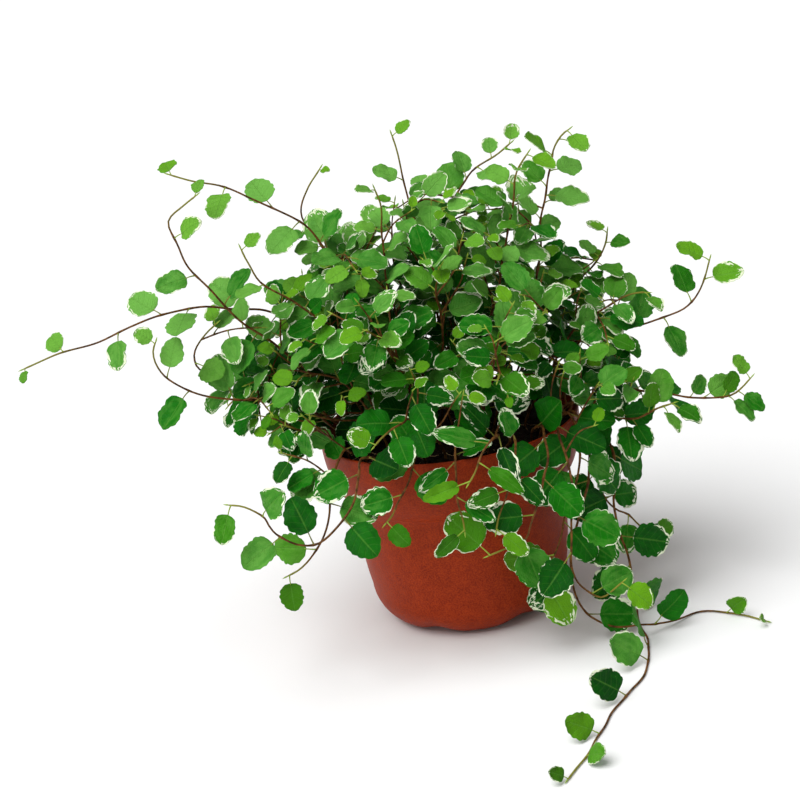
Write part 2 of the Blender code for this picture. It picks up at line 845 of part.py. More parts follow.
def main():
    """Build the pot, the soil and the leafy stems."""
    clear_scene()
    plant = collection("potted_creeping_fig")
    cutters = collection("cutters")
    pot = make_pot(plant, cutters)
    soil = make_soil(plant)
    section = triangle_section(cutters)
    obstacles = Obstacles()
    obstacles.add_object("pot", pot)
    plan = stem_plan(obstacles.items[0][3])
    obstacles.add_object("soil", soil)
    twigs = []
    for name, route, _ in plan:
        twig = make_twig(name, route, section, plant)
        obstacles.add_object(name, twig)
        twigs.append(twig)
    green = material("leaf_green", LEAF_GREEN, 0.45)
    for twig, (name, route, leaves) in zip(twigs, plan):
        join_leaves(twig, grow_leaves(name, route, leaves, obstacles))
        twig.data.materials.append(green)
    hole = (SOIL_TOP - STEM_DEPTH - SOIL_GAP, SOIL_TOP + 8 * MM)
    hole_radius = math.sqrt(2) * (STEM_ROOT_RADIUS + HOLE_GAP)
    for _, route, _ in plan:
        foot = route.line[0]
        round_cutter(foot.x, foot.y, hole, hole_radius, 4, cutters)
    bpy.data.objects.remove(section)
    drill(soil, cutters, "stem_holes")
    pot.data.materials.append(material("terracotta_plastic", TERRACOTTA, 0.5))
    soil.data.materials.append(material("peat", PEAT, 0.95))


if __name__ == "__main__":
    main()
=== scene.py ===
"""The looks of a variegated creeping fig in a round plastic nursery pot.

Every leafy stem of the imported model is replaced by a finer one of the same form, grown by the same
rule as the part's own stems, and further small leaves fill the bush between them.
"""

import logging
import math
import random
from dataclasses import dataclass, field
from enum import Enum
from typing import Iterable, Iterator, Sequence

import bmesh
import bpy
from mathutils import Matrix, Vector, noise
from mathutils.bvhtree import BVHTree
from mathutils.kdtree import KDTree


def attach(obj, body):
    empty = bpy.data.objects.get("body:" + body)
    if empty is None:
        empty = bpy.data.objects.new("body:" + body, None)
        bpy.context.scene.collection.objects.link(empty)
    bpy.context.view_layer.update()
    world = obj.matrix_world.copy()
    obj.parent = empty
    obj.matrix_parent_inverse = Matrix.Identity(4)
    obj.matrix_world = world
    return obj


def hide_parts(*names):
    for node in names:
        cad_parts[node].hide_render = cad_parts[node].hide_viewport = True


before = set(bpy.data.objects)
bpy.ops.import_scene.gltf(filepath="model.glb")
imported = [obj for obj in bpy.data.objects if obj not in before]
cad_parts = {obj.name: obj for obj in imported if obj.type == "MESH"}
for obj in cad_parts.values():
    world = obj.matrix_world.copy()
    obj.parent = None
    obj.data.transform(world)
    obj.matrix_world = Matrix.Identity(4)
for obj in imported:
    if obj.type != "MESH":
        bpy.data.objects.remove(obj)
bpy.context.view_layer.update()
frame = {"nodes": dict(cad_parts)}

LOG = logging.getLogger("creeping_fig")
MM = 0.001
VALUE = "NodeSocketFloat"
VECTOR = "NodeSocketVector"
SHINE = 0.12

Solid = tuple[list[Vector], list[tuple[int, ...]]]

# Sizes of the pot and the soil, as in the part's source.
RIM_RADIUS = 60 * MM
POT_HEIGHT = 92 * MM
WALL = 1.2 * MM
STEP_RADIUS = 51 * MM
STEP_HEIGHT = 62 * MM
FOOT_RADIUS = 31 * MM
FOOT_COUNT = 6
CHANNEL_RISE = 2.6 * MM
DRAIN_COUNT = 6
DRAIN_RADIUS = 4 * MM
DRAIN_CIRCLE = 22 * MM
SOIL_TOP = POT_HEIGHT - 7 * MM
SOIL_BUMP = 1.1 * MM

# The rule that the part's stems and leaves grow by, as in the part's source.
STEM_DEPTH = 10 * MM
STEM_STRAIGHT = 3 * MM
STEM_STEP = 13 * MM
STEM_TRIES = 80
CROOK = 0.06
STALK_SHARE = 0.3
LEAF_WIDTH_SHARE = 0.86
NARROW_STEMS = {"front_spray": 0.46, "front_mid": 0.5, "front_right": 0.62}
LEAF_TRIES = 26
BLADE_THICKNESS = 0.65 * MM
PLANT_HEART = Vector((0, 12 * MM, 82 * MM))
LEAF_FACING = Vector((0, -0.5, 0.55))
LEAF_DROOP = Vector((0, 0, -0.14))
OUTWARD_SHARE = 0.75
OUTWARD_REACH = 62 * MM
LEAFY_FROM = 0.2
GOLDEN_ANGLE = math.pi * (3 - math.sqrt(5))
BUSH_STEMS = 18
BUSH_LEAVES = (16, 10, 6)
BUSH_ROOT_CIRCLE = 41 * MM
BUSH_SPREAD = 0.82
BUSH_REACH = Vector((98 * MM, 88 * MM, 112 * MM))

# The stems that give the plant its outline, as in the part's source: where each leaves the soil,
# the points it passes, and the length of its largest leaf, of the one at its tip, and their number.
STEMS = {
    "far_left": (
        (-34, 4),
        [(-61, 0, 144), (-87, -8, 160), (-118, -18, 165), (-147, -26, 159), (-180, -34, 154)],
        (17, 6, 9),
    ),
    "s_curl": (
        (-40, -8),
        [(-68, -14, 138), (-86, -22, 159), (-102, -26, 185), (-107, -28, 207), (-93, -30, 217)],
        (16, 7, 7),
    ),
    "top_left": (
        (-18, 14),
        [(-19, 8, 150), (-42, 0, 177), (-62, -6, 201), (-84, -10, 216), (-105, -14, 225)],
        (17, 11, 8),
    ),
    "left_twig": (
        (-26, 20),
        [(-38, 22, 154), (-53, 22, 192), (-41, 22, 212)],
        (13, 5, 4),
    ),
    "left_fan": (
        (-30, -14),
        [(-47, -26, 149), (-72, -34, 176), (-78, -36, 193)],
        (15, 8, 6),
    ),
    "left_hook_up": (
        (-44, 8),
        [(-64, 2, 121), (-89, -4, 123), (-108, -8, 135), (-107, -10, 146), (-96, -12, 156)],
        (16, 9, 5),
    ),
    "left_hook_low": (
        (-46, -4),
        [(-65, -12, 113), (-88, -20, 121), (-112, -26, 131), (-124, -28, 146), (-122, -28, 156)],
        (18, 9, 7),
    ),
    "left_drop": (
        (-30, -36),
        [
            (-37, -62, 97), (-44, -74, 84), (-60, -78, 75),
            (-76, -80, 76), (-88, -82, 91), (-96, -84, 95),
        ],
        (17, 13, 7),
    ),
    "left_hang": (
        (-40, -28),
        [(-48, -43, 99), (-54, -57, 92), (-58, -66, 80), (-69, -70, 62), (-80, -72, 56)],
        (17, 12, 5),
    ),
    "rim_left": (
        (-48, -16),
        [(-56, -32, 106), (-64, -38, 108), (-73, -42, 114)],
        (13, 8, 4),
    ),
    "front_left": (
        (-14, -42),
        [(-17, -58, 99), (-21, -68, 92), (-28, -72, 82), (-35, -74, 74)],
        (16, 11, 5),
    ),
    "front_mid": (
        (0, -46),
        [(-3, -68, 96), (-4, -75, 82), (-2, -78, 66)],
        (15, 13, 4),
    ),
    "front_spray": (
        (14, -42),
        [(18, -66, 103), (10, -78, 101), (2, -84, 90)],
        (19, 16, 6),
    ),
    "front_right": (
        (22, -42),
        [(24, -58, 100), (24, -71, 95), (18, -79, 82), (11, -82, 66)],
        (15, 13, 5),
    ),
    "right_pot": (
        (34, -34),
        [(38, -51, 99), (38, -66, 91), (31, -75, 75), (22, -77, 58), (6, -78, 54)],
        (17, 19, 6),
    ),
    "right_drop": (
        (43, -26),
        [(51, -39, 99), (53, -52, 90), (47, -60, 70), (37, -66, 48), (29, -70, 34)],
        (17, 17, 7),
    ),
    "right_long": (
        (49, -12),
        [
            (60, -20, 98), (67, -28, 84), (69, -36, 64), (67, -41, 42), (70, -46, 21), (70, -53, 6),
            (70, -62, 1.6), (69, -82, 1.25), (60, -109, 1.25), (39, -144, 1.25), (20, -178, 1.25),
        ],
        (18, 7, 14),
    ),
    "right_loop": (
        (47, -19),
        [
            (54, -35, 98), (58, -45, 84), (50, -57, 60), (42, -61, 34), (46, -62, 14), (57, -65, 6.5),
            (69, -66, 5.8), (82, -61, 3), (96, -52, 1.25), (110, -57, 1.25), (124, -71, 1.25),
        ],
        (18, 6, 10),
    ),
    "right_curl": (
        (38, -32),
        [(44, -46, 99), (46, -64, 86), (43, -78, 62), (42, -81, 38), (52, -82, 29), (62, -82, 35)],
        (18, 13, 6),
    ),
    "right_hang": (
        (50, -5),
        [(62, -10, 99), (66, -20, 87), (61, -28, 70), (64, -34, 54), (73, -36, 46), (83, -36, 35)],
        (16, 11, 7),
    ),
    "right_side": (
        (46, 2),
        [(68, -2, 98), (88, -8, 94), (110, -14, 89), (128, -16, 88), (138, -16, 95)],
        (15, 10, 7),
    ),
    "right_reach": (
        (38, 12),
        [(56, 10, 115), (83, 6, 120), (106, 3, 124), (120, 1, 132), (127, -2, 149)],
        (16, 13, 9),
    ),
    "right_top": (
        (30, 16),
        [(48, 17, 126), (67, 15, 143), (79, 12, 154), (84, 10, 166)],
        (15, 9, 5),
    ),
    "right_low": (
        (40, -22),
        [(54, -26, 99), (68, -30, 94), (82, -34, 90), (98, -38, 96)],
        (17, 12, 6),
    ),
    "top_tall": (
        (16, 10),
        [(36, 6, 127), (51, 2, 159), (57, -2, 191), (62, -4, 209), (70, -6, 217)],
        (17, 11, 8),
    ),
    "top_mid": (
        (10, -2),
        [(25, -6, 137), (36, -9, 173), (43, -11, 199), (50, -13, 211)],
        (17, 11, 6),
    ),
    "top_arch": (
        (4, 14),
        [(4, 16, 145), (16, 18, 187), (29, 18, 202), (46, 17, 211)],
        (17, 9, 7),
    ),
    "top_left_up": (
        (-4, 4),
        [(2, 4, 138), (0, 4, 176), (-5, 4, 209), (-7, 4, 225)],
        (14, 8, 6),
    ),
    "top_small": (
        (-12, -8),
        [(-16, -12, 140), (-18, -14, 182), (-18, -16, 206)],
        (14, 9, 5),
    ),
}

# A leaf of the part is found where the tip that the rule gives is this near to a corner.
LEAF_MATCH = 0.05 * MM
FINE_THICKNESS = 0.28 * MM
CREASE = math.radians(50)

# Fine stems: a small sway, knots at the leaves, and low stems sunk to rest on the floor.
RING_STEP = 2.5 * MM
WOOD_SIDES = 7
SWAY = 0.25 * MM
SWAY_STEP = 3.4 * MM
KNOT = 0.15 * MM
KNOT_REACH = 1.1 * MM
LOW = 4 * MM
FLOOR_SINK = 0.7 * MM
SINK_RUN = 2 * MM
FLOOR_REST = 0.1 * MM

# Looks of a leaf: its age falls from this share of the stem on, most leaves have some cream, and its green
# is drawn at random but lighter high and far out as painted light, darker low in the bush as painted shade.
YOUNG_FROM = 0.55
YOUNG_LOSS = 0.75
NO_CREAM = -0.3
CREAM_SHARE = 0.72
NARROW_CREAM = 0.27
# The least painted light a leaf gets, and how much of its green is painted light and shade by its place.
LEAST_PAINTED_LIGHT = 0.2
GREEN_BY_CHANCE = 0.55
GREEN_BY_PAINTED_LIGHT = 0.6

# Further leaves on the stems: dense in the bush's dome and on a few stems above it.
EXTRA_FIRST = 9 * MM
EXTRA_SPACING = 7.5 * MM
EXTRA_ROOM = 2.2 * MM
OUTER_ROOM = 26 * MM
FULL_STEMS = ("top_tall", "top_mid", "top_arch", "right_top", "right_side", "right_low")
EXTRA_TRIES = 10
EXTRA_CLEARANCE = 0.25 * MM
EXTRA_TURN = 4
EXTRA_WIDTH = 0.9
EXTRA_SHRINK = 0.035
EXTRA_FLOOR = 0.6 * MM
EXTRA_NECK = 1.8 * MM
EXTRA_PLATE = 0.97

# Short side shoots with their own leaves, inside the dome only.
SHOOT_FIRST = 20 * MM
SHOOT_SPACING = 11 * MM
SHOOT_TRIES = 14
SHOOT_LENGTH = (20 * MM, 38 * MM)
SHOOT_LEAF = 16.5 * MM
SHOOT_TIP_LEAF = 8 * MM
SHOOT_LEAF_FIRST = 3 * MM
SHOOT_LEAF_SPACING = 7 * MM
SHOOT_WOOD = (0.42 * MM, 0.28 * MM)
SHOOT_CLEARANCE = 0.6 * MM
SHOOT_AGE = 0.85
SHOOT_END = 0.94

# The bush's dome over the soil, with an underside that slopes up from its waist, and the shade low
# in front where the soil shows.
DOME = Vector((98 * MM, 86 * MM, 112 * MM))
DOME_WAIST = 46 * MM
DOME_SLOPE = 0.7
SHADE_WIDTH = 58 * MM
SHADE_HEIGHT = 36 * MM


def tint(red: int, green: int, blue: int) -> tuple[float, float, float, float]:
    """A colour given as display values from 0 to 255, in the shader's linear values.

    Args:
        red: Display value of red.
        green: Display value of green.
        blue: Display value of blue.

    Returns:
        The linear colour with full alpha.
    """
    linear = []
    for value in (red, green, blue):
        share = value / 255
        linear.append(share / 12.92 if share <= 0.04045 else ((share + 0.055) / 1.055) ** 2.4)
    return (linear[0], linear[1], linear[2], 1.0)


class Wiring:
    """A node tree with short ways to add its nodes and join them."""

    def __init__(self, tree: bpy.types.NodeTree) -> None:
        """Keep the tree."""
        self.tree = tree

    def add(self, kind: str, **settings: object) -> bpy.types.Node:
        """Add a node and give its properties.

        Args:
            kind: The node's type name.
            settings: Properties of the node and their values.

        Returns:
            The node.
        """
        node = self.tree.nodes.new(kind)
        for name, value in settings.items():
            setattr(node, name, value)
        return node

    def feed(self, socket: bpy.types.NodeSocket, value: object) -> None:
        """Link a socket's value to an input, or set the input to a plain value."""
        if isinstance(value, bpy.types.NodeSocket):
            self.tree.links.new(value, socket)
        else:
            socket.default_value = value

    def sum(self, operation: str, first: object, second: object = 0.0) -> bpy.types.NodeSocket:
        """The result of a Math node.

        Args:
            operation: The node's operation.
            first: Its first value or socket.
            second: Its second value or socket.

        Returns:
            The socket that holds the result.
        """
        node = self.add("ShaderNodeMath", operation=operation)
        self.feed(node.inputs[0], first)
        self.feed(node.inputs[1], second)
        return node.outputs[0]

    def step(self, value: object, low: object, high: object) -> bpy.types.NodeSocket:
        """A smooth step from 0 where the value is low to 1 where it is high."""
        node = self.add("ShaderNodeMapRange", interpolation_type="SMOOTHSTEP")
        self.feed(node.inputs["Value"], value)
        self.feed(node.inputs["From Min"], low)
        self.feed(node.inputs["From Max"], high)
        return node.outputs["Result"]

    def blend(self, share: object, first: object, second: object) -> bpy.types.NodeSocket:
        """A colour that goes from the first to the second as the share goes from 0 to 1."""
        node = self.add("ShaderNodeMix", data_type="RGBA")
        self.feed(node.inputs[0], share)
        self.feed(node.inputs[6], first)
        self.feed(node.inputs[7], second)
        return node.outputs[2]

    def group(self, tree: bpy.types.NodeTree, **inputs: object) -> bpy.types.Node:
        """Place a node group and feed its inputs, an underscore standing for a space."""
        node = self.add("ShaderNodeGroup", node_tree=tree)
        for name, value in inputs.items():
            self.feed(node.inputs[name.replace("_", " ")], value)
        return node


def new_group(name: str, inputs: dict[str, str], outputs: dict[str, str]) -> tuple[Wiring, dict, dict]:
    """Start a shader node group.

    Args:
        name: The group's name.
        inputs: Its inputs' names and socket types.
        outputs: Its outputs' names and socket types.

    Returns:
        Its wiring, its inputs' sockets inside and its outputs' sockets inside.
    """
    tree = bpy.data.node_groups.new(name, "ShaderNodeTree")
    for title, kind in inputs.items():
        tree.interface.new_socket(name=title, in_out="INPUT", socket_type=kind)
    for title, kind in outputs.items():
        tree.interface.new_socket(name=title, in_out="OUTPUT", socket_type=kind)
    wiring = Wiring(tree)
    entry = wiring.add("NodeGroupInput")
    leave = wiring.add("NodeGroupOutput")
    given = {title: entry.outputs[title] for title in inputs}
    result = {title: leave.inputs[title] for title in outputs}
    return wiring, given, result


def mottle_group() -> bpy.types.NodeTree:
    """Soft blotches and fine specks over a surface, from 0 to 1.

    Returns:
        The group, with the inputs Place, Size (blotches a unit) and Seed.
    """
    inputs = {"Place": VECTOR, "Size": VALUE, "Seed": VALUE}
    wiring, given, result = new_group("mottle", inputs, {"Blotch": VALUE, "Speck": VALUE})
    blotch = wiring.add("ShaderNodeTexNoise", noise_dimensions="4D")
    blotch.inputs["Detail"].default_value = 3
    speck = wiring.add("ShaderNodeTexNoise", noise_dimensions="4D")
    speck.inputs["Detail"].default_value = 2
    for node in (blotch, speck):
        wiring.feed(node.inputs["Vector"], given["Place"])
        wiring.feed(node.inputs["W"], given["Seed"])
    wiring.feed(blotch.inputs["Scale"], given["Size"])
    wiring.feed(speck.inputs["Scale"], wiring.sum("MULTIPLY", given["Size"], 7.0))
    wiring.feed(result["Blotch"], wiring.step(blotch.outputs["Fac"], 0.34, 0.66))
    wiring.feed(result["Speck"], wiring.step(speck.outputs["Fac"], 0.34, 0.66))
    return wiring.tree


def vein_group() -> bpy.types.NodeTree:
    """A leaf's midrib and its side veins, from 0 between them to 1 on them.

    Returns:
        The group, with the input Place: across from -1 to 1, along from 0 to 1, and inset.
    """
    wiring, given, result = new_group("leaf_veins", {"Place": VECTOR}, {"Rib": VALUE, "Vein": VALUE})
    parts = wiring.add("ShaderNodeSeparateXYZ")
    wiring.feed(parts.inputs[0], given["Place"])
    across = wiring.sum("ABSOLUTE", parts.outputs["X"])
    wiring.feed(result["Rib"], wiring.step(across, 0.085, 0.02))
    slant = wiring.sum("MULTIPLY", across, 1.35)
    rows = wiring.sum("SUBTRACT", wiring.sum("MULTIPLY", parts.outputs["Y"], 5.5), slant)
    away = wiring.sum("ABSOLUTE", wiring.sum("SUBTRACT", wiring.sum("FRACT", rows), 0.5))
    line = wiring.step(away, 0.1, 0.0)
    fade = wiring.step(across, 1.0, 0.55)
    wiring.feed(result["Vein"], wiring.sum("MULTIPLY", line, fade))
    return wiring.tree


def margin_group() -> bpy.types.NodeTree:
    """The uneven cream margin of a variegated leaf.

    Returns:
        The group, with the inputs Inset (0 on the margin), Width and Ragged (noise from 0 to 1).
    """
    inputs = {"Inset": VALUE, "Width": VALUE, "Ragged": VALUE}
    wiring, given, result = new_group("cream_margin", inputs, {"Mask": VALUE})
    lobe = wiring.step(given["Ragged"], 0.34, 0.74)
    limit = wiring.sum("SUBTRACT", wiring.sum("MULTIPLY", given["Width"], lobe), 0.014)
    high = wiring.sum("ADD", limit, 0.016)
    low = wiring.sum("SUBTRACT", limit, 0.016)
    wiring.feed(result["Mask"], wiring.step(given["Inset"], high, low))
    return wiring.tree


@dataclass
class Effects:
    """The node groups that the finishes share."""

    mottle: bpy.types.NodeTree = field(default_factory=mottle_group)
    veins: bpy.types.NodeTree = field(default_factory=vein_group)
    margin: bpy.types.NodeTree = field(default_factory=margin_group)


def new_material(name: str) -> tuple[bpy.types.Material, Wiring, bpy.types.Node]:
    """A material with its wiring and its Principled shader."""
    made = bpy.data.materials.new(name)
    made.use_nodes = True
    shader = made.node_tree.nodes["Principled BSDF"]
    shader.inputs["Specular IOR Level"].default_value = SHINE
    return made, Wiring(made.node_tree), shader


def relief(wiring: Wiring, height: object, depth: float, strength: float = 1.0) -> bpy.types.NodeSocket:
    """The normal of a Bump node over a height.

    Args:
        wiring: The material's wiring.
        height: The socket of the height, from 0 to 1.
        depth: What a height of 1 stands for, in metres.
        strength: How much of the relief shows.

    Returns:
        The normal's socket.
    """
    bump = wiring.add("ShaderNodeBump")
    bump.inputs["Distance"].default_value = depth
    bump.inputs["Strength"].default_value = strength
    wiring.feed(bump.inputs["Height"], height)
    return bump.outputs["Normal"]


@dataclass(frozen=True)
class SurfaceFinish:
    """A mottled matt surface: plastic, peat or root."""

    name: str
    dark: tuple[float, float, float, float]
    light: tuple[float, float, float, float]
    blotches: float = 210.0
    roughness: float = 0.5
    grain_depth: float = 0.05 * MM
    blotch_share: float = 0.25
    seed: float = 0.0

    def make(self, effects: Effects) -> bpy.types.Material:
        """Build the material.

        Args:
            effects: The shared node groups.

        Returns:
            The material.
        """
        made, wiring, shader = new_material(self.name)
        place = wiring.add("ShaderNodeTexCoord").outputs["Object"]
        spots = wiring.group(effects.mottle, Place=place, Size=self.blotches, Seed=self.seed)
        fine = wiring.sum("MULTIPLY", spots.outputs["Speck"], 1 - self.blotch_share)
        coarse = wiring.sum("MULTIPLY", spots.outputs["Blotch"], self.blotch_share)
        share = wiring.sum("ADD", coarse, fine)
        wiring.feed(shader.inputs["Base Color"], wiring.blend(share, self.dark, self.light))
        gloss = wiring.sum("MULTIPLY_ADD", spots.outputs["Speck"], 0.12)
        gloss.node.inputs[2].default_value = self.roughness - 0.06
        wiring.feed(shader.inputs["Roughness"], gloss)
        wiring.feed(shader.inputs["Normal"], relief(wiring, spots.outputs["Speck"], self.grain_depth))
        return made


@dataclass(frozen=True)
class StemFinish:
    """Brown bark that turns green towards the young tip, and the stalks' paler skin."""

    name: str
    old_dark: tuple[float, float, float, float]
    old_light: tuple[float, float, float, float]
    young: tuple[float, float, float, float]

    def make(self, effects: Effects) -> bpy.types.Material:
        """Build the material.

        Args:
            effects: The shared node groups.

        Returns:
            The material.
        """
        made, wiring, shader = new_material(self.name)
        place = wiring.add("ShaderNodeTexCoord").outputs["Object"]
        kind = wiring.add("ShaderNodeAttribute", attribute_name="leaf_kind")
        parts = wiring.add("ShaderNodeSeparateColor")
        wiring.feed(parts.inputs[0], kind.outputs["Color"])
        spots = wiring.group(effects.mottle, Place=place, Size=420.0, Seed=2.0)
        bark = wiring.blend(spots.outputs["Blotch"], self.old_dark, self.old_light)
        fresh = wiring.step(parts.outputs["Green"], 1.0, 0.25)
        wiring.feed(shader.inputs["Base Color"], wiring.blend(fresh, bark, self.young))
        gloss = wiring.sum("MULTIPLY_ADD", spots.outputs["Speck"], 0.15)
        gloss.node.inputs[2].default_value = 0.52
        wiring.feed(shader.inputs["Roughness"], gloss)
        wiring.feed(shader.inputs["Normal"], relief(wiring, spots.outputs["Blotch"], 0.15 * MM))
        return made


@dataclass(frozen=True)
class LeafFinish:
    """A variegated leaf: one of several greens with painted light and shade, lime while young, cream in spots
    at its margin.
    """

    name: str = "fig_leaf"
    emerald: tuple[float, float, float, float] = tint(0, 68, 2)
    grass: tuple[float, float, float, float] = tint(16, 110, 0)
    sage: tuple[float, float, float, float] = tint(104, 168, 66)
    young: tuple[float, float, float, float] = tint(104, 166, 20)
    cream: tuple[float, float, float, float] = tint(232, 240, 208)
    vein: tuple[float, float, float, float] = tint(100, 160, 60)
    beneath: tuple[float, float, float, float] = tint(84, 142, 54)

    def make(self, effects: Effects) -> bpy.types.Material:
        """Build the material from what each corner of the leaf says of its place and kind.

        Args:
            effects: The shared node groups.

        Returns:
            The material.
        """
        made, wiring, shader = new_material(self.name)
        place = wiring.add("ShaderNodeAttribute", attribute_name="leaf_place").outputs["Vector"]
        kind = wiring.add("ShaderNodeAttribute", attribute_name="leaf_kind")
        parts = wiring.add("ShaderNodeSeparateColor")
        wiring.feed(parts.inputs[0], kind.outputs["Color"])
        seed, age, width = (parts.outputs[name] for name in ("Red", "Green", "Blue"))
        spread = wiring.sum("MULTIPLY", seed, 60.0)
        blotch = wiring.group(effects.mottle, Place=place, Size=2.2, Seed=spread).outputs
        other = wiring.sum("ADD", spread, 9.0)
        ragged = wiring.group(effects.mottle, Place=place, Size=4.4, Seed=other).outputs["Blotch"]
        # The seed picks a green from dark emerald to pale sage; as it rises with the leaf's height and reach,
        # the emerald end is partly painted shade and the sage end partly painted light.
        greens = wiring.add("ShaderNodeValToRGB")
        ramp = greens.color_ramp.elements
        ramp[0].position, ramp[0].color = 0.22, self.emerald
        ramp[1].position, ramp[1].color = 1.0, self.sage
        middle = ramp.new(0.6)
        middle.color = self.grass
        marbled = wiring.sum("MULTIPLY", blotch["Blotch"], 0.14)
        wiring.feed(greens.inputs[0], wiring.sum("ADD", seed, marbled))
        fresh = wiring.step(age, 0.6, 0.0)
        tone = wiring.blend(fresh, greens.outputs[0], self.young)
        veins = wiring.group(effects.veins, Place=place).outputs
        side_veins = wiring.sum("MULTIPLY", veins["Vein"], 0.1)
        drawn = wiring.sum("ADD", wiring.sum("MULTIPLY", veins["Rib"], 0.28), side_veins)
        veined = wiring.blend(drawn, tone, self.vein)
        inset = wiring.add("ShaderNodeSeparateXYZ")
        wiring.feed(inset.inputs[0], place)
        tipward = wiring.sum("MULTIPLY_ADD", wiring.step(inset.outputs["Y"], 0.1, 0.75), 0.8)
        tipward.node.inputs[2].default_value = 0.2
        wide = wiring.sum("MULTIPLY", width, tipward)
        margin = wiring.group(effects.margin, Inset=inset.outputs["Z"], Width=wide, Ragged=ragged)
        edged = wiring.blend(margin.outputs["Mask"], veined, self.cream)
        under = wiring.sum("MULTIPLY", kind.outputs["Alpha"], 0.62)
        wiring.feed(shader.inputs["Base Color"], wiring.blend(under, edged, self.beneath))
        gloss = wiring.sum("MULTIPLY_ADD", blotch["Speck"], 0.14)
        gloss.node.inputs[2].default_value = 0.42
        wiring.feed(shader.inputs["Roughness"], wiring.sum("ADD", gloss, wiring.sum("MULTIPLY", under, 0.2)))
        furrow = wiring.sum("MULTIPLY", veins["Rib"], -0.8)
        hollow = wiring.sum("ADD", wiring.sum("MULTIPLY", veins["Vein"], -0.55), furrow)
        quilt = wiring.sum("ADD", hollow, wiring.sum("MULTIPLY", blotch["Speck"], 0.5))
        wiring.feed(shader.inputs["Normal"], relief(wiring, quilt, 0.28 * MM, 0.8))
        return made


class Slot(Enum):
    """Which material a face of a leafy stem has."""

    BARK = 0
    STALK = 1
    LEAF = 2


@dataclass
class Finishes:
    """Every material of the plant and its pot."""

    effects: Effects = field(default_factory=Effects)

    def __post_init__(self) -> None:
        """Build the materials."""
        plastic = SurfaceFinish("brick_red_plastic", tint(126, 34, 4), tint(166, 56, 14))
        peat = SurfaceFinish("damp_peat", tint(20, 14, 11), tint(56, 40, 30), 240.0, 0.9, 0.5 * MM, 0.5, 3.0)
        fibre = SurfaceFinish("root_fibre", tint(128, 100, 70), tint(186, 160, 120), 500.0, 0.75)
        bark = StemFinish("brown_bark", tint(64, 38, 14), tint(116, 76, 34), tint(126, 124, 44))
        stalk = StemFinish("green_stalk", tint(92, 96, 34), tint(130, 126, 56), tint(140, 166, 60))
        self.plastic = plastic.make(self.effects)
        self.peat = peat.make(self.effects)
        self.fibre = fibre.make(self.effects)
        self.bark = bark.make(self.effects)
        self.stalk = stalk.make(self.effects)
        self.leaf = LeafFinish().make(self.effects)


@dataclass
class Shape:
    """Corners and faces gathered for one mesh, with what its materials read at each corner."""

    points: list[Vector] = field(default_factory=list)
    faces: list[tuple[int, ...]] = field(default_factory=list)
    slots: list[int] = field(default_factory=list)
    place: list[tuple[float, float, float]] = field(default_factory=list)
    kind: list[tuple[float, float, float, float]] = field(default_factory=list)

    def add(
        self,
        points: Sequence[Vector],
        faces: Iterable[Sequence[int]],
        slot: int,
        kind: Sequence[tuple[float, float, float, float]],
        place: Sequence[tuple[float, float, float]] | None = None,
    ) -> None:
        """Add a closed body.

        Args:
            points: Its corners.
            faces: Its faces, as places in the points.
            slot: Its material's place.
            kind: Seed, age, cream width and underside of each corner.
            place: Across, along and inset of each corner, where it is a blade.
        """
        start = len(self.points)
        self.points.extend(points)
        self.kind.extend(kind)
        self.place.extend(place or [(0.0, 0.0, 1.0)] * len(points))
        for face in faces:
            self.faces.append(tuple(start + corner for corner in face))
            self.slots.append(slot)

    def build(self, name: str, materials: Sequence[bpy.types.Material]) -> bpy.types.Object:
        """Make the object.

        Args:
            name: Its name.
            materials: Its materials, in the slots' order.

        Returns:
            The object, linked to the scene.
        """
        mesh = bpy.data.meshes.new(name)
        mesh.from_pydata(self.points, [], self.faces)
        mesh.polygons.foreach_set("material_index", self.slots)
        place = mesh.attributes.new("leaf_place", "FLOAT_VECTOR", "POINT")
        place.data.foreach_set("vector", [value for corner in self.place for value in corner])
        kind = mesh.attributes.new("leaf_kind", "FLOAT_COLOR", "POINT")
        kind.data.foreach_set("color", [value for corner in self.kind for value in corner])
        for material in materials:
            mesh.materials.append(material)
        mesh.shade_smooth()
        mesh.set_sharp_from_angle(angle=CREASE)
        made = bpy.data.objects.new(name, mesh)
        bpy.context.scene.collection.objects.link(made)
        return made


def tube(points: Sequence[Vector], radii: Sequence[float], sides: int) -> Solid:
    """A closed round tube along points.

    Args:
        points: The middle of each ring.
        radii: The radius of each ring.
        sides: Corners of each ring.

    Returns:
        Its corners and its faces.
    """
    corners: list[Vector] = []
    side = Vector((1, 0, 0))
    for i, (point, radius) in enumerate(zip(points, radii)):
        ahead = (points[min(i + 1, len(points) - 1)] - points[max(i - 1, 0)]).normalized()
        side = side - ahead * side.dot(ahead)
        if side.length < 0.05:
            side = ahead.orthogonal()
        side.normalize()
        over = ahead.cross(side)
        for k in range(sides):
            angle = 2 * math.pi * k / sides
            corners.append(point + (side * math.cos(angle) + over * math.sin(angle)) * radius)
    faces: list[tuple[int, ...]] = []
    for i in range(len(points) - 1):
        for k in range(sides):
            k2 = (k + 1) % sides
            faces.append((i * sides + k, i * sides + k2, (i + 1) * sides + k2, (i + 1) * sides + k))
    faces.append(tuple(reversed(range(sides))))
    faces.append(tuple((len(points) - 1) * sides + k for k in range(sides)))
    return corners, faces


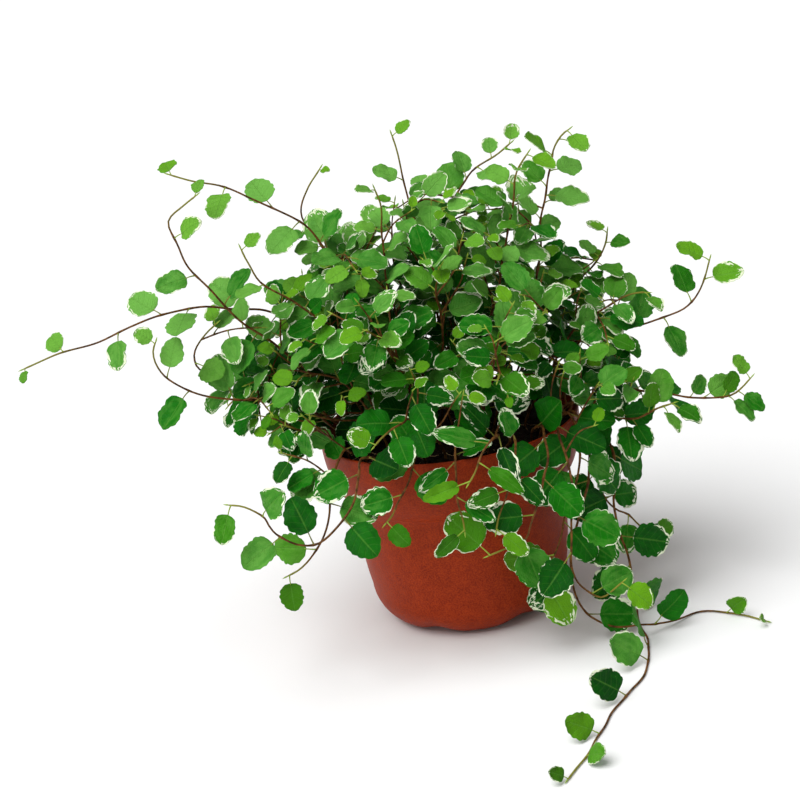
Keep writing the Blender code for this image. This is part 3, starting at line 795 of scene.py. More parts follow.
class Route:
    """A smooth line through points, read by its length from the first point."""

    SAMPLES = 12

    def __init__(self, points: list[Vector]) -> None:
        """Lay the line.

        Args:
            points: The points that it passes.
        """
        ends = [2 * points[0] - points[1]] + points + [2 * points[-1] - points[-2]]
        self.line: list[Vector] = []
        for before, start, end, after in zip(ends, ends[1:], ends[2:], ends[3:]):
            for i in range(self.SAMPLES):
                self.line.append(self.blend(before, start, end, after, i / self.SAMPLES))
        self.line.append(points[-1].copy())
        self.marks = [0.0]
        for first, second in zip(self.line, self.line[1:]):
            self.marks.append(self.marks[-1] + (second - first).length)
        self.length = self.marks[-1]

    @staticmethod
    def blend(before: Vector, start: Vector, end: Vector, after: Vector, t: float) -> Vector:
        """A Catmull-Rom point between start and end."""
        return 0.5 * (
            2 * start
            + (end - before) * t
            + (2 * before - 5 * start + 4 * end - after) * t**2
            + (3 * start - before - 3 * end + after) * t**3
        )

    def at(self, distance: float) -> tuple[Vector, Vector]:
        """The point and the direction at a distance along the line."""
        distance = min(max(distance, 0.0), self.length)
        i = 0
        while i < len(self.marks) - 2 and self.marks[i + 1] < distance:
            i += 1
        step = self.line[i + 1] - self.line[i]
        share = (distance - self.marks[i]) / max(step.length, 1e-9)
        return self.line[i] + step * share, step.normalized()


def crooked(words: str, points: list[Vector]) -> list[Vector]:
    """The points with one more between each two, a little off the smooth line through them."""
    draw = random.Random(f"crook {words}")
    ends = [points[0]] + points + [points[-1]]
    made = [points[0]]
    for before, start, end, after in zip(ends, ends[1:], ends[2:], ends[3:]):
        shift = Vector([draw.uniform(-1, 1) * CROOK * (end - start).length for _ in range(3)])
        if min(start.z, end.z) < 8 * MM:
            shift.z = 0
        made += [Route.blend(before, start, end, after, 0.5) + shift, end]
    return made


def stem_route(words: str, root: tuple[float, float], points: list[Vector]) -> Route:
    """The line of a stem: straight up out of its hole, then through its points."""
    x, y = root
    collar = Vector((x, y, SOIL_TOP + STEM_STRAIGHT))
    return Route([Vector((x, y, SOIL_TOP - STEM_DEPTH))] + crooked(words, [collar] + points))


def nudged(name: str, points: list[Vector], trial: int) -> list[Vector]:
    """A named stem's points, moved a little at random in every trial after the first."""
    draw = random.Random(f"{name} {trial}")
    reach = 0.9 * MM * math.sqrt(trial)
    moved = []
    for point in points:
        shift = Vector([draw.uniform(-reach, reach) for _ in range(3)])
        if point.z < 2 * MM:
            shift.z = 0
        moved.append(point + shift)
    return moved


def bush_points(index: int, trial: int) -> tuple[tuple[float, float], list[Vector]]:
    """Root and points of one stem of the bush: an arch from the soil to the plant's dome."""
    draw = random.Random(f"bush {index} {trial}")
    share = math.sqrt((index + 0.5) / BUSH_STEMS)
    angle = index * GOLDEN_ANGLE
    root = (BUSH_ROOT_CIRCLE * share * math.cos(angle), BUSH_ROOT_CIRCLE * share * math.sin(angle))
    heading = angle + draw.uniform(-0.35, 0.35)
    polar = math.acos(1 - BUSH_SPREAD * (index + 0.5) / BUSH_STEMS) + draw.uniform(-0.14, 0.14)
    reach = draw.uniform(0.72, 1.0)
    out = Vector((math.cos(heading), math.sin(heading), 0))
    tip = Vector((root[0], root[1], SOIL_TOP)) * 0.35 + Vector((0, 0, SOIL_TOP)) * 0.65
    tip += Vector(
        (
            BUSH_REACH.x * reach * math.sin(polar) * out.x,
            BUSH_REACH.y * reach * math.sin(polar) * out.y,
            BUSH_REACH.z * reach * math.cos(polar),
        )
    )
    base = Vector((root[0], root[1], SOIL_TOP))
    middle = base.lerp(tip, 0.5) + Vector((0, 0, 14 * MM)) - out * 5 * MM
    aside = Vector((-out.y, out.x, 0)) * draw.uniform(-6, 6) * MM
    bend = base.lerp(tip, 0.82) + Vector((0, 0, 9 * MM)) + aside
    return root, [middle, bend, tip]


def stem_marks(route: Route) -> list[float]:
    """Distances along a stem where the part's tube has a ring."""
    first = STEM_DEPTH + STEM_STRAIGHT
    count = max(3, round((route.length - first) / STEM_STEP))
    return [0.0] + [first + (route.length - first) * i / count for i in range(count + 1)]


def stem_axis(route: Route, distance: float) -> tuple[Vector, Vector]:
    """The point and direction on the straight piece of the part's tube at a distance."""
    marks = stem_marks(route)
    i = 0
    while i < len(marks) - 2 and marks[i + 1] < distance:
        i += 1
    start, _ = route.at(marks[i])
    end, _ = route.at(marks[i + 1])
    share = (distance - marks[i]) / (marks[i + 1] - marks[i])
    return start.lerp(end, share), (end - start).normalized()


def leaf_lengths(leaves: tuple[int, int, int]) -> list[float]:
    """Lengths of a stem's leaves from its foot to its tip: the last few are young and small."""
    largest, last, count = leaves
    return [(largest + (last - largest) * (i / (count - 1)) ** 4) * MM for i in range(count)]


def leaf_marks(words: str, route: Route, count: int) -> list[float]:
    """Distances of a stem's leaves along it, at uneven steps up to the tip."""
    draw = random.Random(f"marks {words}")
    first = STEM_DEPTH + LEAFY_FROM * (route.length - STEM_DEPTH)
    step = (route.length - 1.2 * MM - first) / (count - 1)
    return [first + step * (i + draw.uniform(-0.25, 0.25) * (i < count - 1)) for i in range(count)]


def half_width(share: float) -> float:
    """Half width of a leaf's blade, as a share of its widest, from its base 0 to its tip 1."""
    return max(0.0, math.sin(math.pi * share**0.82)) ** 0.62


def round_width(share: float) -> float:
    """Half width of the fine blade: as the part's plate, with a rounder tip and base."""
    return max(0.0, math.sin(math.pi * share**0.82)) ** 0.48


def blade_lift(across: float, along: float) -> float:
    """Height of the blade's surface, as a share of its length."""
    wave = 0.035 * across * math.sin(9 * along + 0.6)
    return 0.07 * abs(across) + wave - 0.09 * along**2


class LeafFrame:
    """Where a leaf sits: its root, and its across, along and upward directions."""

    def __init__(self, root: Vector, along: Vector, up: Vector) -> None:
        """Square the directions up."""
        self.root = root
        self.along = along.normalized()
        self.up = (up - self.along * up.dot(self.along)).normalized()
        self.across = self.along.cross(self.up)

    def place(self, x: float, y: float, z: float) -> Vector:
        """A point of the leaf in the plant's frame."""
        return self.root + self.across * x + self.along * y + self.up * z


def leaf_frame(words: str, number: int, trial: int, point: Vector, direction: Vector) -> LeafFrame:
    """One way for a leaf to sit on its stem. Later trials turn it further from the first."""
    draw = random.Random(f"{words} {number} {trial}")
    side = 1 if number % 2 else -1
    out = point - PLANT_HEART
    facing = out.normalized() * min(OUTWARD_SHARE, OUTWARD_REACH / out.length) + LEAF_FACING
    spread = 0.22 + 0.045 * trial
    facing += Vector([draw.uniform(-1, 1) * spread for _ in range(3)])
    facing.normalize()
    across = direction.cross(facing).normalized() * side
    along = across * 0.85 + direction * draw.uniform(0.1, 0.6) + facing * draw.uniform(-0.1, 0.3)
    along += Vector([draw.uniform(-1, 1) * spread * 0.6 for _ in range(3)]) + LEAF_DROOP
    return LeafFrame(point, along, facing)


def leaf_outline(length: float, width_share: float) -> list[tuple[float, float, float, float]]:
    """Outline of the part's leaf in its own plane, as (x, y, across, along), root first."""
    stalk = STALK_SHARE * length
    width = 0.5 * width_share * length
    shares = (0.26, 0.72)
    half_stalk = 0.45 * MM
    right = [(width * half_width(s), stalk + length * s, half_width(s), s) for s in shares]
    left = [(-x, y, -across, s) for x, y, across, s in reversed(right)]
    root = [(0, 0, 0, 0), (half_stalk, stalk, 0, 0)]
    return root + right + [(0, stalk + length, 0, 1)] + left + [(-half_stalk, stalk, 0, 0)]


def leaf_plate(leaf: LeafFrame, length: float, width_share: float) -> Solid:
    """A leaf as a thin closed plate with its clearance all round, to test what it meets."""
    grow = EXTRA_CLEARANCE
    outline = leaf_outline(length, width_share)
    count = len(outline)
    points = []
    for side in (1, -1):
        for x, y, across, along in outline:
            lift = blade_lift(across, along) * length + side * (0.5 * FINE_THICKNESS + grow)
            stretch = 1 + 2 * grow / length
            points.append(leaf.place(x * stretch, y + (grow if along > 0.6 else 0), lift))
    tip = count // 2
    faces = []
    half = [(0, 1, count - 1), (count - 1, 1, tip)]
    half += [(1, i, i + 1) for i in range(2, tip)]
    half += [(i, i + 1, count - 1) for i in range(tip, count - 2)]
    for a, b, c in half:
        faces.append((a, b, c))
        faces.append((c + count, b + count, a + count))
    for i in range(count):
        j = (i + 1) % count
        faces.append((i, i + count, j + count))
        faces.append((i, j + count, j))
    return points, faces


class Obstacles:
    """What stands in a new leaf's way, kept by the cells of a coarse grid that it touches."""

    CELL = 22 * MM

    def __init__(self) -> None:
        """Start with nothing."""
        self.trees: list[BVHTree] = []
        self.cells: dict[tuple[int, int, int], list[int]] = {}

    def touched(self, points: Sequence[Vector]) -> Iterator[tuple[int, int, int]]:
        """The cells that a box round the points touches."""
        spans = []
        for i in range(3):
            values = [point[i] for point in points]
            spans.append(range(math.floor(min(values) / self.CELL), math.floor(max(values) / self.CELL) + 1))
        for i in spans[0]:
            for j in spans[1]:
                for k in spans[2]:
                    yield (i, j, k)

    def add(self, points: Sequence[Vector], faces: Sequence[Sequence[int]]) -> None:
        """Remember a solid."""
        for cell in self.touched(points):
            self.cells.setdefault(cell, []).append(len(self.trees))
        self.trees.append(BVHTree.FromPolygons(points, faces))

    def hit(self, points: Sequence[Vector], faces: Sequence[Sequence[int]]) -> bool:
        """True where the solid meets one that was added."""
        near = {index for cell in self.touched(points) for index in self.cells.get(cell, ())}
        if not near:
            return False
        tree = BVHTree.FromPolygons(points, faces)
        return any(tree.overlap(self.trees[index]) for index in near)


FoundLeaves = dict[int, tuple[LeafFrame, float, float]]
Choice = tuple[tuple[float, float], list[Vector]]


class PartNode:
    """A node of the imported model, asked which of a rule's choices it was built from."""

    def __init__(self, name: str) -> None:
        """Read the node's corners."""
        mesh = frame["nodes"][name].data
        self.tree = KDTree(len(mesh.vertices))
        for vertex in mesh.vertices:
            self.tree.insert(vertex.co, vertex.index)
        self.tree.balance()

    def gap(self, point: Vector) -> float:
        """Distance from a point to the node's nearest corner."""
        return self.tree.find(point)[2]

    def leaves_on(self, words: str, route: Route, lengths: list[float]) -> FoundLeaves:
        """The leaves that the node has where the rule may have put them along a line.

        Args:
            words: The stem's name.
            route: The line.
            lengths: Lengths of the leaves that the rule asks for.

        Returns:
            Frame, length and distance along the line of each leaf found, by its number.
        """
        found: FoundLeaves = {}
        marks = leaf_marks(words, route, len(lengths))
        for number, (distance, length) in enumerate(zip(marks, lengths)):
            point, direction = stem_axis(route, distance)
            for trial in range(LEAF_TRIES):
                place = leaf_frame(words, number, trial, point, direction)
                size = length * (0.9 if trial > LEAF_TRIES // 2 else 1.0)
                lift = blade_lift(0, 1) * size + 0.5 * BLADE_THICKNESS
                if self.gap(place.place(0, size * (1 + STALK_SHARE), lift)) < LEAF_MATCH:
                    found[number] = (place, size, distance)
                    break
        return found

    def grown(self, words: str, lengths: list[float], choices: Iterable[Choice]) -> tuple[Route, FoundLeaves]:
        """The line that the node was built from, told by its leaves, and those leaves.

        Args:
            words: The stem's name.
            lengths: Lengths of the leaves that the rule asks for.
            choices: Roots and points of the lines that the stem may have.

        Returns:
            The line with the most leaves found along it, and those leaves.
        """
        best: tuple[Route, FoundLeaves] | None = None
        for root, points in choices:
            route = stem_route(words, root, points)
            leaves = self.leaves_on(words, route, lengths)
            if best is None or len(leaves) > len(best[1]):
                best = (route, leaves)
            if 2 * len(leaves) > len(lengths):
                break
        return best


@dataclass
class Leaf:
    """One leaf that has found its place."""

    frame: LeafFrame
    length: float
    width_share: float
    # Where the leaf's green lies on its ramp: partly random, partly painted light and shade by height and
    # reach; it also seeds the blade's shape.
    seed: float
    age: float
    cream: float
    root: Vector


class LeafPress:
    """Makes the fine mesh of a leaf: a scalloped, quilted blade on a curved stalk."""

    ROWS = 17
    ACROSS = (-1.0, -0.86, -0.5, 0.0, 0.5, 0.86, 1.0)
    STALK_RADII = (0.42, 0.33, 0.29, 0.27, 0.26, 0.18)

    def __init__(self, shape: Shape) -> None:
        """Keep the shape that takes the leaves."""
        self.shape = shape

    def blade(self, leaf: Leaf) -> None:
        """Add a leaf's blade.

        Args:
            leaf: The leaf.
        """
        draw = random.Random(f"blade {leaf.seed:.6f}")
        length = leaf.length
        stalk = STALK_SHARE * length
        width = 0.5 * leaf.width_share * length * draw.uniform(0.94, 1.04)
        phases = {-1: draw.uniform(0, 1), 1: draw.uniform(0, 1)}
        teeth = draw.uniform(4.4, 5.6)
        depth = draw.uniform(0.09, 0.15)
        cup = draw.uniform(-0.04, 0.05)
        curl = draw.uniform(-0.05, 0.06)
        tops: list[Vector] = []
        lows: list[Vector] = []
        places: list[tuple[float, float, float]] = []

        def corner(u: float, s: float) -> None:
            """Add a corner to both sides, at a place across (-1 to 1) and along (0 to 1)."""
            side = 1 if u >= 0 else -1
            notch = abs(math.sin(math.pi * (teeth * s + phases[side]))) - 0.64
            reach = round_width(s) * (1 + depth * notch * abs(u) if 0 < s < 1 else 0)
            lift = blade_lift(u * half_width(s), s) + cup * (u * half_width(s)) ** 2 + curl * (2 * s - 1) ** 2
            lift += 0.03 * u * u * math.sin(2 * math.pi * (1.7 * s + phases[side]))
            lift -= 0.014 * max(0.0, 1 - abs(u) * 4)
            lift += 0.012 * (1 - abs(u)) * abs(u) * 4 * math.sin(2 * math.pi * (5.5 * s - 1.35 * abs(u)))
            y = stalk + length * (s + 0.3 * depth * notch * abs(u) * (s - 0.4))
            for side_points, offset in ((tops, 0.5), (lows, -0.5)):
                height = lift * length + offset * FINE_THICKNESS
                side_points.append(leaf.frame.place(u * reach * width, y, height))
            inset = min((1 - abs(u)) * round_width(s), 2.1 * (1 - s), 2.3 * s)
            places.append((u, s, max(0.0, inset)))

        corner(0, 0)
        for row in range(self.ROWS):
            share = (row + 0.55) / (self.ROWS + 0.1)
            for u in self.ACROSS:
                corner(u, share)
        corner(0, 1)
        faces = self.faces()
        count = len(tops)
        kind = [(leaf.seed, leaf.age, leaf.cream, 0.0)] * count
        kind += [(leaf.seed, leaf.age, leaf.cream, 1.0)] * count
        closed = list(faces) + [tuple(count + c for c in reversed(face)) for face in faces]
        closed += [(b, a, count + a, count + b) for a, b in self.rim()]
        self.shape.add(tops + lows, closed, Slot.LEAF.value, kind, places + places)

    def faces(self) -> list[tuple[int, ...]]:
        """Faces of the blade's upper side, seen from above anticlockwise."""
        wide = len(self.ACROSS)
        made: list[tuple[int, ...]] = []
        last = 1 + self.ROWS * wide
        for k in range(wide - 1):
            made.append((0, 1 + k + 1, 1 + k))
            made.append((last, last - wide + k, last - wide + k + 1))
        for row in range(self.ROWS - 1):
            for k in range(wide - 1):
                a = 1 + row * wide + k
                made.append((a, a + 1, a + 1 + wide, a + wide))
        return made

    def rim(self) -> list[tuple[int, int]]:
        """Edges round the blade, in the order that the upper side's faces use them."""
        wide = len(self.ACROSS)
        right = [1 + row * wide + wide - 1 for row in range(self.ROWS)]
        left = [1 + row * wide for row in range(self.ROWS)]
        loop = [0] + right + [1 + self.ROWS * wide] + list(reversed(left))
        return list(zip(loop, loop[1:] + loop[:1]))

    def stalk(self, leaf: Leaf) -> None:
        """Add a leaf's stalk, from the middle of its stem to the base of its blade."""
        base = leaf.frame.place(0, (STALK_SHARE + 0.06) * leaf.length, -0.1 * MM)
        bend = leaf.root.lerp(base, 0.55) + leaf.frame.up * 0.06 * leaf.length
        points = []
        for i in range(len(self.STALK_RADII)):
            t = i / (len(self.STALK_RADII) - 1)
            points.append(leaf.root * (1 - t) ** 2 + bend * 2 * t * (1 - t) + base * t**2)
        scale = 0.55 + 0.45 * min(1.0, leaf.length / (14 * MM))
        corners, faces = tube(points, [radius * scale * MM for radius in self.STALK_RADII], 5)
        kind = [(leaf.seed, leaf.age, 0.0, 0.0)] * len(corners)
        self.shape.add(corners, faces, Slot.STALK.value, kind)


@dataclass
class Twig:
    """A length of stem, or a side shoot, and the leaves on it."""

    name: str
    route: Route
    largest: float
    last: float
    thick: float = 0.64 * MM
    thin: float = 0.38 * MM
    oldest: float = 1.0
    width_share: float = LEAF_WIDTH_SHARE
    cream: float = 0.18
    leaves: list[Leaf] = field(default_factory=list)
    marks: list[float] = field(default_factory=list)

    def keep(
        self, place: LeafFrame, length: float, distance: float, words: str, slim: float = 1.0
    ) -> None:
        """Keep a leaf, with an age, a cream margin, and a green with painted light and shade for its place.

        Args:
            place: Where it sits.
            length: Its blade's length.
            distance: Its distance along the stem.
            words: What seeds its looks.
            slim: Its width, as a share of what is usual on the stem.
        """
        draw = random.Random(f"look {words}")
        share = distance / self.route.length
        fall = YOUNG_LOSS * max(0.0, share - YOUNG_FROM) / (1 - YOUNG_FROM)
        age = self.oldest * (1.1 - fall) + draw.uniform(-0.3, 0.1)
        wide = 0.6 + 2.2 * draw.random() ** 3
        cream = self.cream * wide if draw.random() < CREAM_SHARE else NO_CREAM
        root = self.middle(distance)
        # Painted light and shade: the green is lighter the higher and the further out the leaf sits, darker
        # low and deep in the bush.
        high = (root.z - SOIL_TOP) / DOME.z
        far = max(0.0, abs(root.x) - DOME_WAIST) / (2 * DOME.x)
        light = min(1.0, max(LEAST_PAINTED_LIGHT, high) + far)
        seed = GREEN_BY_CHANCE * draw.random() + GREEN_BY_PAINTED_LIGHT * light
        width = self.width_share * slim
        self.leaves.append(Leaf(place, length, width, seed, min(1.0, max(0.0, age)), cream, root))
        self.marks.append(distance)

    def middle(self, distance: float) -> Vector:
        """The middle of the fine stem at a distance, a little crooked, and resting on the floor."""
        point, ahead = self.route.at(distance)
        sway = math.sin(distance / SWAY_STEP) * SWAY
        side = ahead.cross(Vector((0.3, 0.5, 0.8))).normalized()
        if point.z < LOW:
            sink = FLOOR_SINK * min(1.0, (LOW - point.z) / SINK_RUN)
            rest = Vector((point.x, point.y, max(point.z - sink, self.thick + FLOOR_REST)))
            return rest + Vector((side.x, side.y, 0)) * sway
        return point + side * sway

    def rings(self) -> list[float]:
        """Distances of the fine stem's rings."""
        count = max(8, round(self.route.length / RING_STEP))
        return [self.route.length * i / count for i in range(count + 1)]

    def radius(self, distance: float) -> float:
        """Radius of the fine stem, which swells at each leaf."""
        share = distance / self.route.length
        knots = sum(math.exp(-(((distance - mark) / KNOT_REACH) ** 2)) for mark in self.marks)
        return self.thick + (self.thin - self.thick) * share + KNOT * min(1.0, knots)

    def stand(self, obstacles: Obstacles) -> None:
        """Tell the obstacles where the wood and its leaves are."""
        middles = [self.middle(mark) for mark in self.rings()]
        for first, second in zip(middles[::3], middles[3::3] + [middles[-1]]):
            if (second - first).length > 0.5 * MM:
                obstacles.add(*tube([first, second], [self.thick, self.thick], 4))
        for leaf in self.leaves:
            obstacles.add(*leaf_plate(leaf.frame, leaf.length, leaf.width_share))

    def place_leaf(self, number: int, distance: float, length: float, obstacles: Obstacles) -> None:
        """Add a leaf where it finds room, smaller and more turned with each try.

        Args:
            number: The leaf's number on the stem, which seeds the tries.
            distance: Its distance along the stem.
            length: Its blade's length at the first try.
            obstacles: What stands in its way, and takes it too.
        """
        words = f"{self.name} more"
        for trial in range(EXTRA_TRIES):
            size = length * (1 - EXTRA_SHRINK * trial)
            place = leaf_frame(words, number, trial + EXTRA_TURN, *self.route.at(distance))
            points, faces = leaf_plate(place, size, self.width_share)
            if min(point.z for point in points) < EXTRA_FLOOR:
                continue
            off_stem = LeafFrame(place.place(0, EXTRA_NECK, 0), place.along, place.up)
            if not obstacles.hit(*leaf_plate(off_stem, size * EXTRA_PLATE, self.width_share)):
                self.keep(place, size, distance, f"{words} {number}", EXTRA_WIDTH)
                obstacles.add(points, faces)
                return

    def fill(self, obstacles: Obstacles, first: float, spacing: float) -> None:
        """Add further, smaller leaves between the stem's own where there is room.

        Args:
            obstacles: What stands in their way, and takes them too.
            first: Distance along the stem where they start.
            spacing: The step from leaf to leaf.
        """
        own = list(self.marks)
        for number in range(int((self.route.length - first) / spacing) + 1):
            distance = min(self.route.length, first + spacing * (number + 0.5))
            point = self.route.at(distance)[0]
            full = in_bush(point) or self.name in FULL_STEMS
            room = EXTRA_ROOM if full else OUTER_ROOM
            if any(abs(distance - mark) < room for mark in own) or in_shade(point):
                continue
            share = distance / self.route.length
            draw = random.Random(f"{self.name} more {number}")
            length = (self.largest + (self.last - self.largest) * share**4) * draw.uniform(0.75, 1.0)
            self.place_leaf(number, distance, length, obstacles)

    def wood(self, shape: Shape) -> None:
        """Add the stem itself and the bud at its tip."""
        marks = self.rings()
        points = [self.middle(mark) for mark in marks]
        radii = [self.radius(mark) for mark in marks]
        radii[-1] *= 0.6
        corners, faces = tube(points, radii, WOOD_SIDES)
        kind = []
        for mark in marks:
            age = min(1.0, self.oldest * max(0.0, (1.02 - mark / self.route.length) * 6))
            kind += [(0.5, age, 0.0, 0.0)] * WOOD_SIDES
        shape.add(corners, faces, Slot.BARK.value, kind)
        tip = points[-1]
        ahead = (points[-1] - points[-3]).normalized()
        bud = [tip + ahead * reach * MM for reach in (-0.5, 0.4, 1.2, 2.2)]
        corners, faces = tube(bud, [0.24 * MM, 0.36 * MM, 0.26 * MM, 0.06 * MM], 6)
        shape.add(corners, faces, Slot.STALK.value, [(0.5, 0.0, 0.0, 0.0)] * len(corners))

    def draw_on(self, shape: Shape) -> None:
        """Add the wood and every leaf to a shape."""
        self.wood(shape)
        press = LeafPress(shape)
        for leaf in self.leaves:
            press.blade(leaf)
            press.stalk(leaf)


class LeafyStem(Twig):
    """One stem of the part, grown again as its node was built, with more leaves and side shoots."""

    def __init__(self, name: str, leaves: tuple[int, int, int], choices: Iterable[Choice]) -> None:
        """Find the line and the leaves that the part's node was built from.

        Args:
            name: The node's name.
            leaves: Lengths of its largest and last leaf, and how many the rule asks for.
            choices: Roots and points of the lines that the stem may have.
        """
        lengths = leaf_lengths(leaves)
        route, own = PartNode(name).grown(name, lengths, choices)
        super().__init__(name, route, lengths[0], lengths[-1])
        self.width_share = NARROW_STEMS.get(name, LEAF_WIDTH_SHARE)
        self.shoots: list[Twig] = []
        if name in NARROW_STEMS:
            self.cream = NARROW_CREAM
        for number, (place, size, distance) in own.items():
            self.keep(place, size, distance, f"{name} {number}")

    def sprout(self, obstacles: Obstacles) -> None:
        """Grow leafy side shoots inside the bush.

        Args:
            obstacles: What stands in their way, and takes them too.
        """
        distance = STEM_DEPTH + SHOOT_FIRST
        number = 0
        while distance < self.route.length * SHOOT_END:
            for trial in range(SHOOT_TRIES):
                route = self.shoot_route(number, trial, distance)
                middles = [route.at(route.length * i / 6)[0] for i in range(1, 7)]
                grows = in_bush(middles[-1]) and not in_shade(middles[-1])
                if grows and not obstacles.hit(*tube(middles, [SHOOT_CLEARANCE] * len(middles), 4)):
                    words = f"{self.name} shoot {number}"
                    shoot = Twig(words, route, SHOOT_LEAF, SHOOT_TIP_LEAF, *SHOOT_WOOD, SHOOT_AGE)
                    shoot.stand(obstacles)
                    self.shoots.append(shoot)
                    break
            number += 1
            distance += SHOOT_SPACING

    def shoot_route(self, number: int, trial: int, distance: float) -> Route:
        """The line of one side shoot, out and up from its stem."""
        draw = random.Random(f"{self.name} shoot {number} {trial}")
        start, ahead = self.middle(distance), self.route.at(distance)[1]
        out = (start - PLANT_HEART).normalized()
        heading = ahead * 0.3 + out * 0.5 + Vector((0, -0.15, 0.25))
        heading += Vector([draw.uniform(-1, 1) for _ in range(3)])
        heading.normalize()
        length = draw.uniform(*SHOOT_LENGTH) * (1 - 0.02 * trial)
        sag = Vector((0, 0, draw.uniform(-0.25, 0.12) * length))
        side = heading.orthogonal().normalized() * draw.uniform(-0.12, 0.12) * length
        middle = start + heading * length * 0.5 + side - sag * 0.25
        return Route([start, middle, start + heading * length + sag])

    def build(self, finishes: Finishes) -> bpy.types.Object:
        """Make the piece in place of the part's node.

        Args:
            finishes: The materials.

        Returns:
            The piece.
        """
        shape = Shape()
        for twig in [self] + self.shoots:
            twig.draw_on(shape)
        made = shape.build(f"{self.name}_fine", [finishes.bark, finishes.stalk, finishes.leaf])
        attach(made, "root")
        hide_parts(self.name)
        return made


def in_bush(point: Vector) -> bool:
    """True inside the bush's dome, whose underside rises towards its left and right."""
    high = point.z - SOIL_TOP
    low = DOME_SLOPE * max(0.0, abs(point.x) - DOME_WAIST)
    spread = (point.x / DOME.x) ** 2 + (point.y / DOME.y) ** 2 + (high / DOME.z) ** 2
    return high > low and spread < 1


def in_shade(point: Vector) -> bool:
    """True low in the front of the bush, where hardly any leaf grows and the soil shows."""
    high = point.z - SOIL_TOP
    return point.y < 0 and abs(point.x) < SHADE_WIDTH and 0 < high < SHADE_HEIGHT


@dataclass
class Plant:
    """All the leafy stems."""

    finishes: Finishes
    obstacles: Obstacles

    def stems(self) -> Iterator[LeafyStem]:
        """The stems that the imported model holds, the named ones first."""
        for name, (root, points, leaves) in STEMS.items():
            if name in frame["nodes"]:
                start = (root[0] * MM, root[1] * MM)
                line = [Vector(point) * MM for point in points]
                choices = ((start, nudged(name, line, trial)) for trial in range(STEM_TRIES))
                yield LeafyStem(name, leaves, choices)
        for index in range(BUSH_STEMS):
            name = f"bush_{index + 1:02d}"
            if name in frame["nodes"]:
                choices = (bush_points(index, trial) for trial in range(STEM_TRIES))
                yield LeafyStem(name, BUSH_LEAVES, choices)

    def build(self) -> list[bpy.types.Object]:
        """Grow every stem, fill the gaps, and make the pieces.

        Returns:
            The pieces.
        """
        stems = list(self.stems())
        for stem in stems:
            stem.stand(self.obstacles)
        found = sum(len(stem.leaves) for stem in stems)
        for stem in stems:
            stem.sprout(self.obstacles)
        for stem in stems:
            stem.fill(self.obstacles, STEM_DEPTH + EXTRA_FIRST, EXTRA_SPACING)
            for shoot in stem.shoots:
                shoot.fill(self.obstacles, SHOOT_LEAF_FIRST, SHOOT_LEAF_SPACING)
        shoots = [shoot for stem in stems for shoot in stem.shoots]
        more = sum(len(twig.leaves) for twig in stems + shoots) - found
        LOG.info("%d leaves of the part, %d shoots, %d more leaves", found, len(shoots), more)
        return [stem.build(self.finishes) for stem in stems]


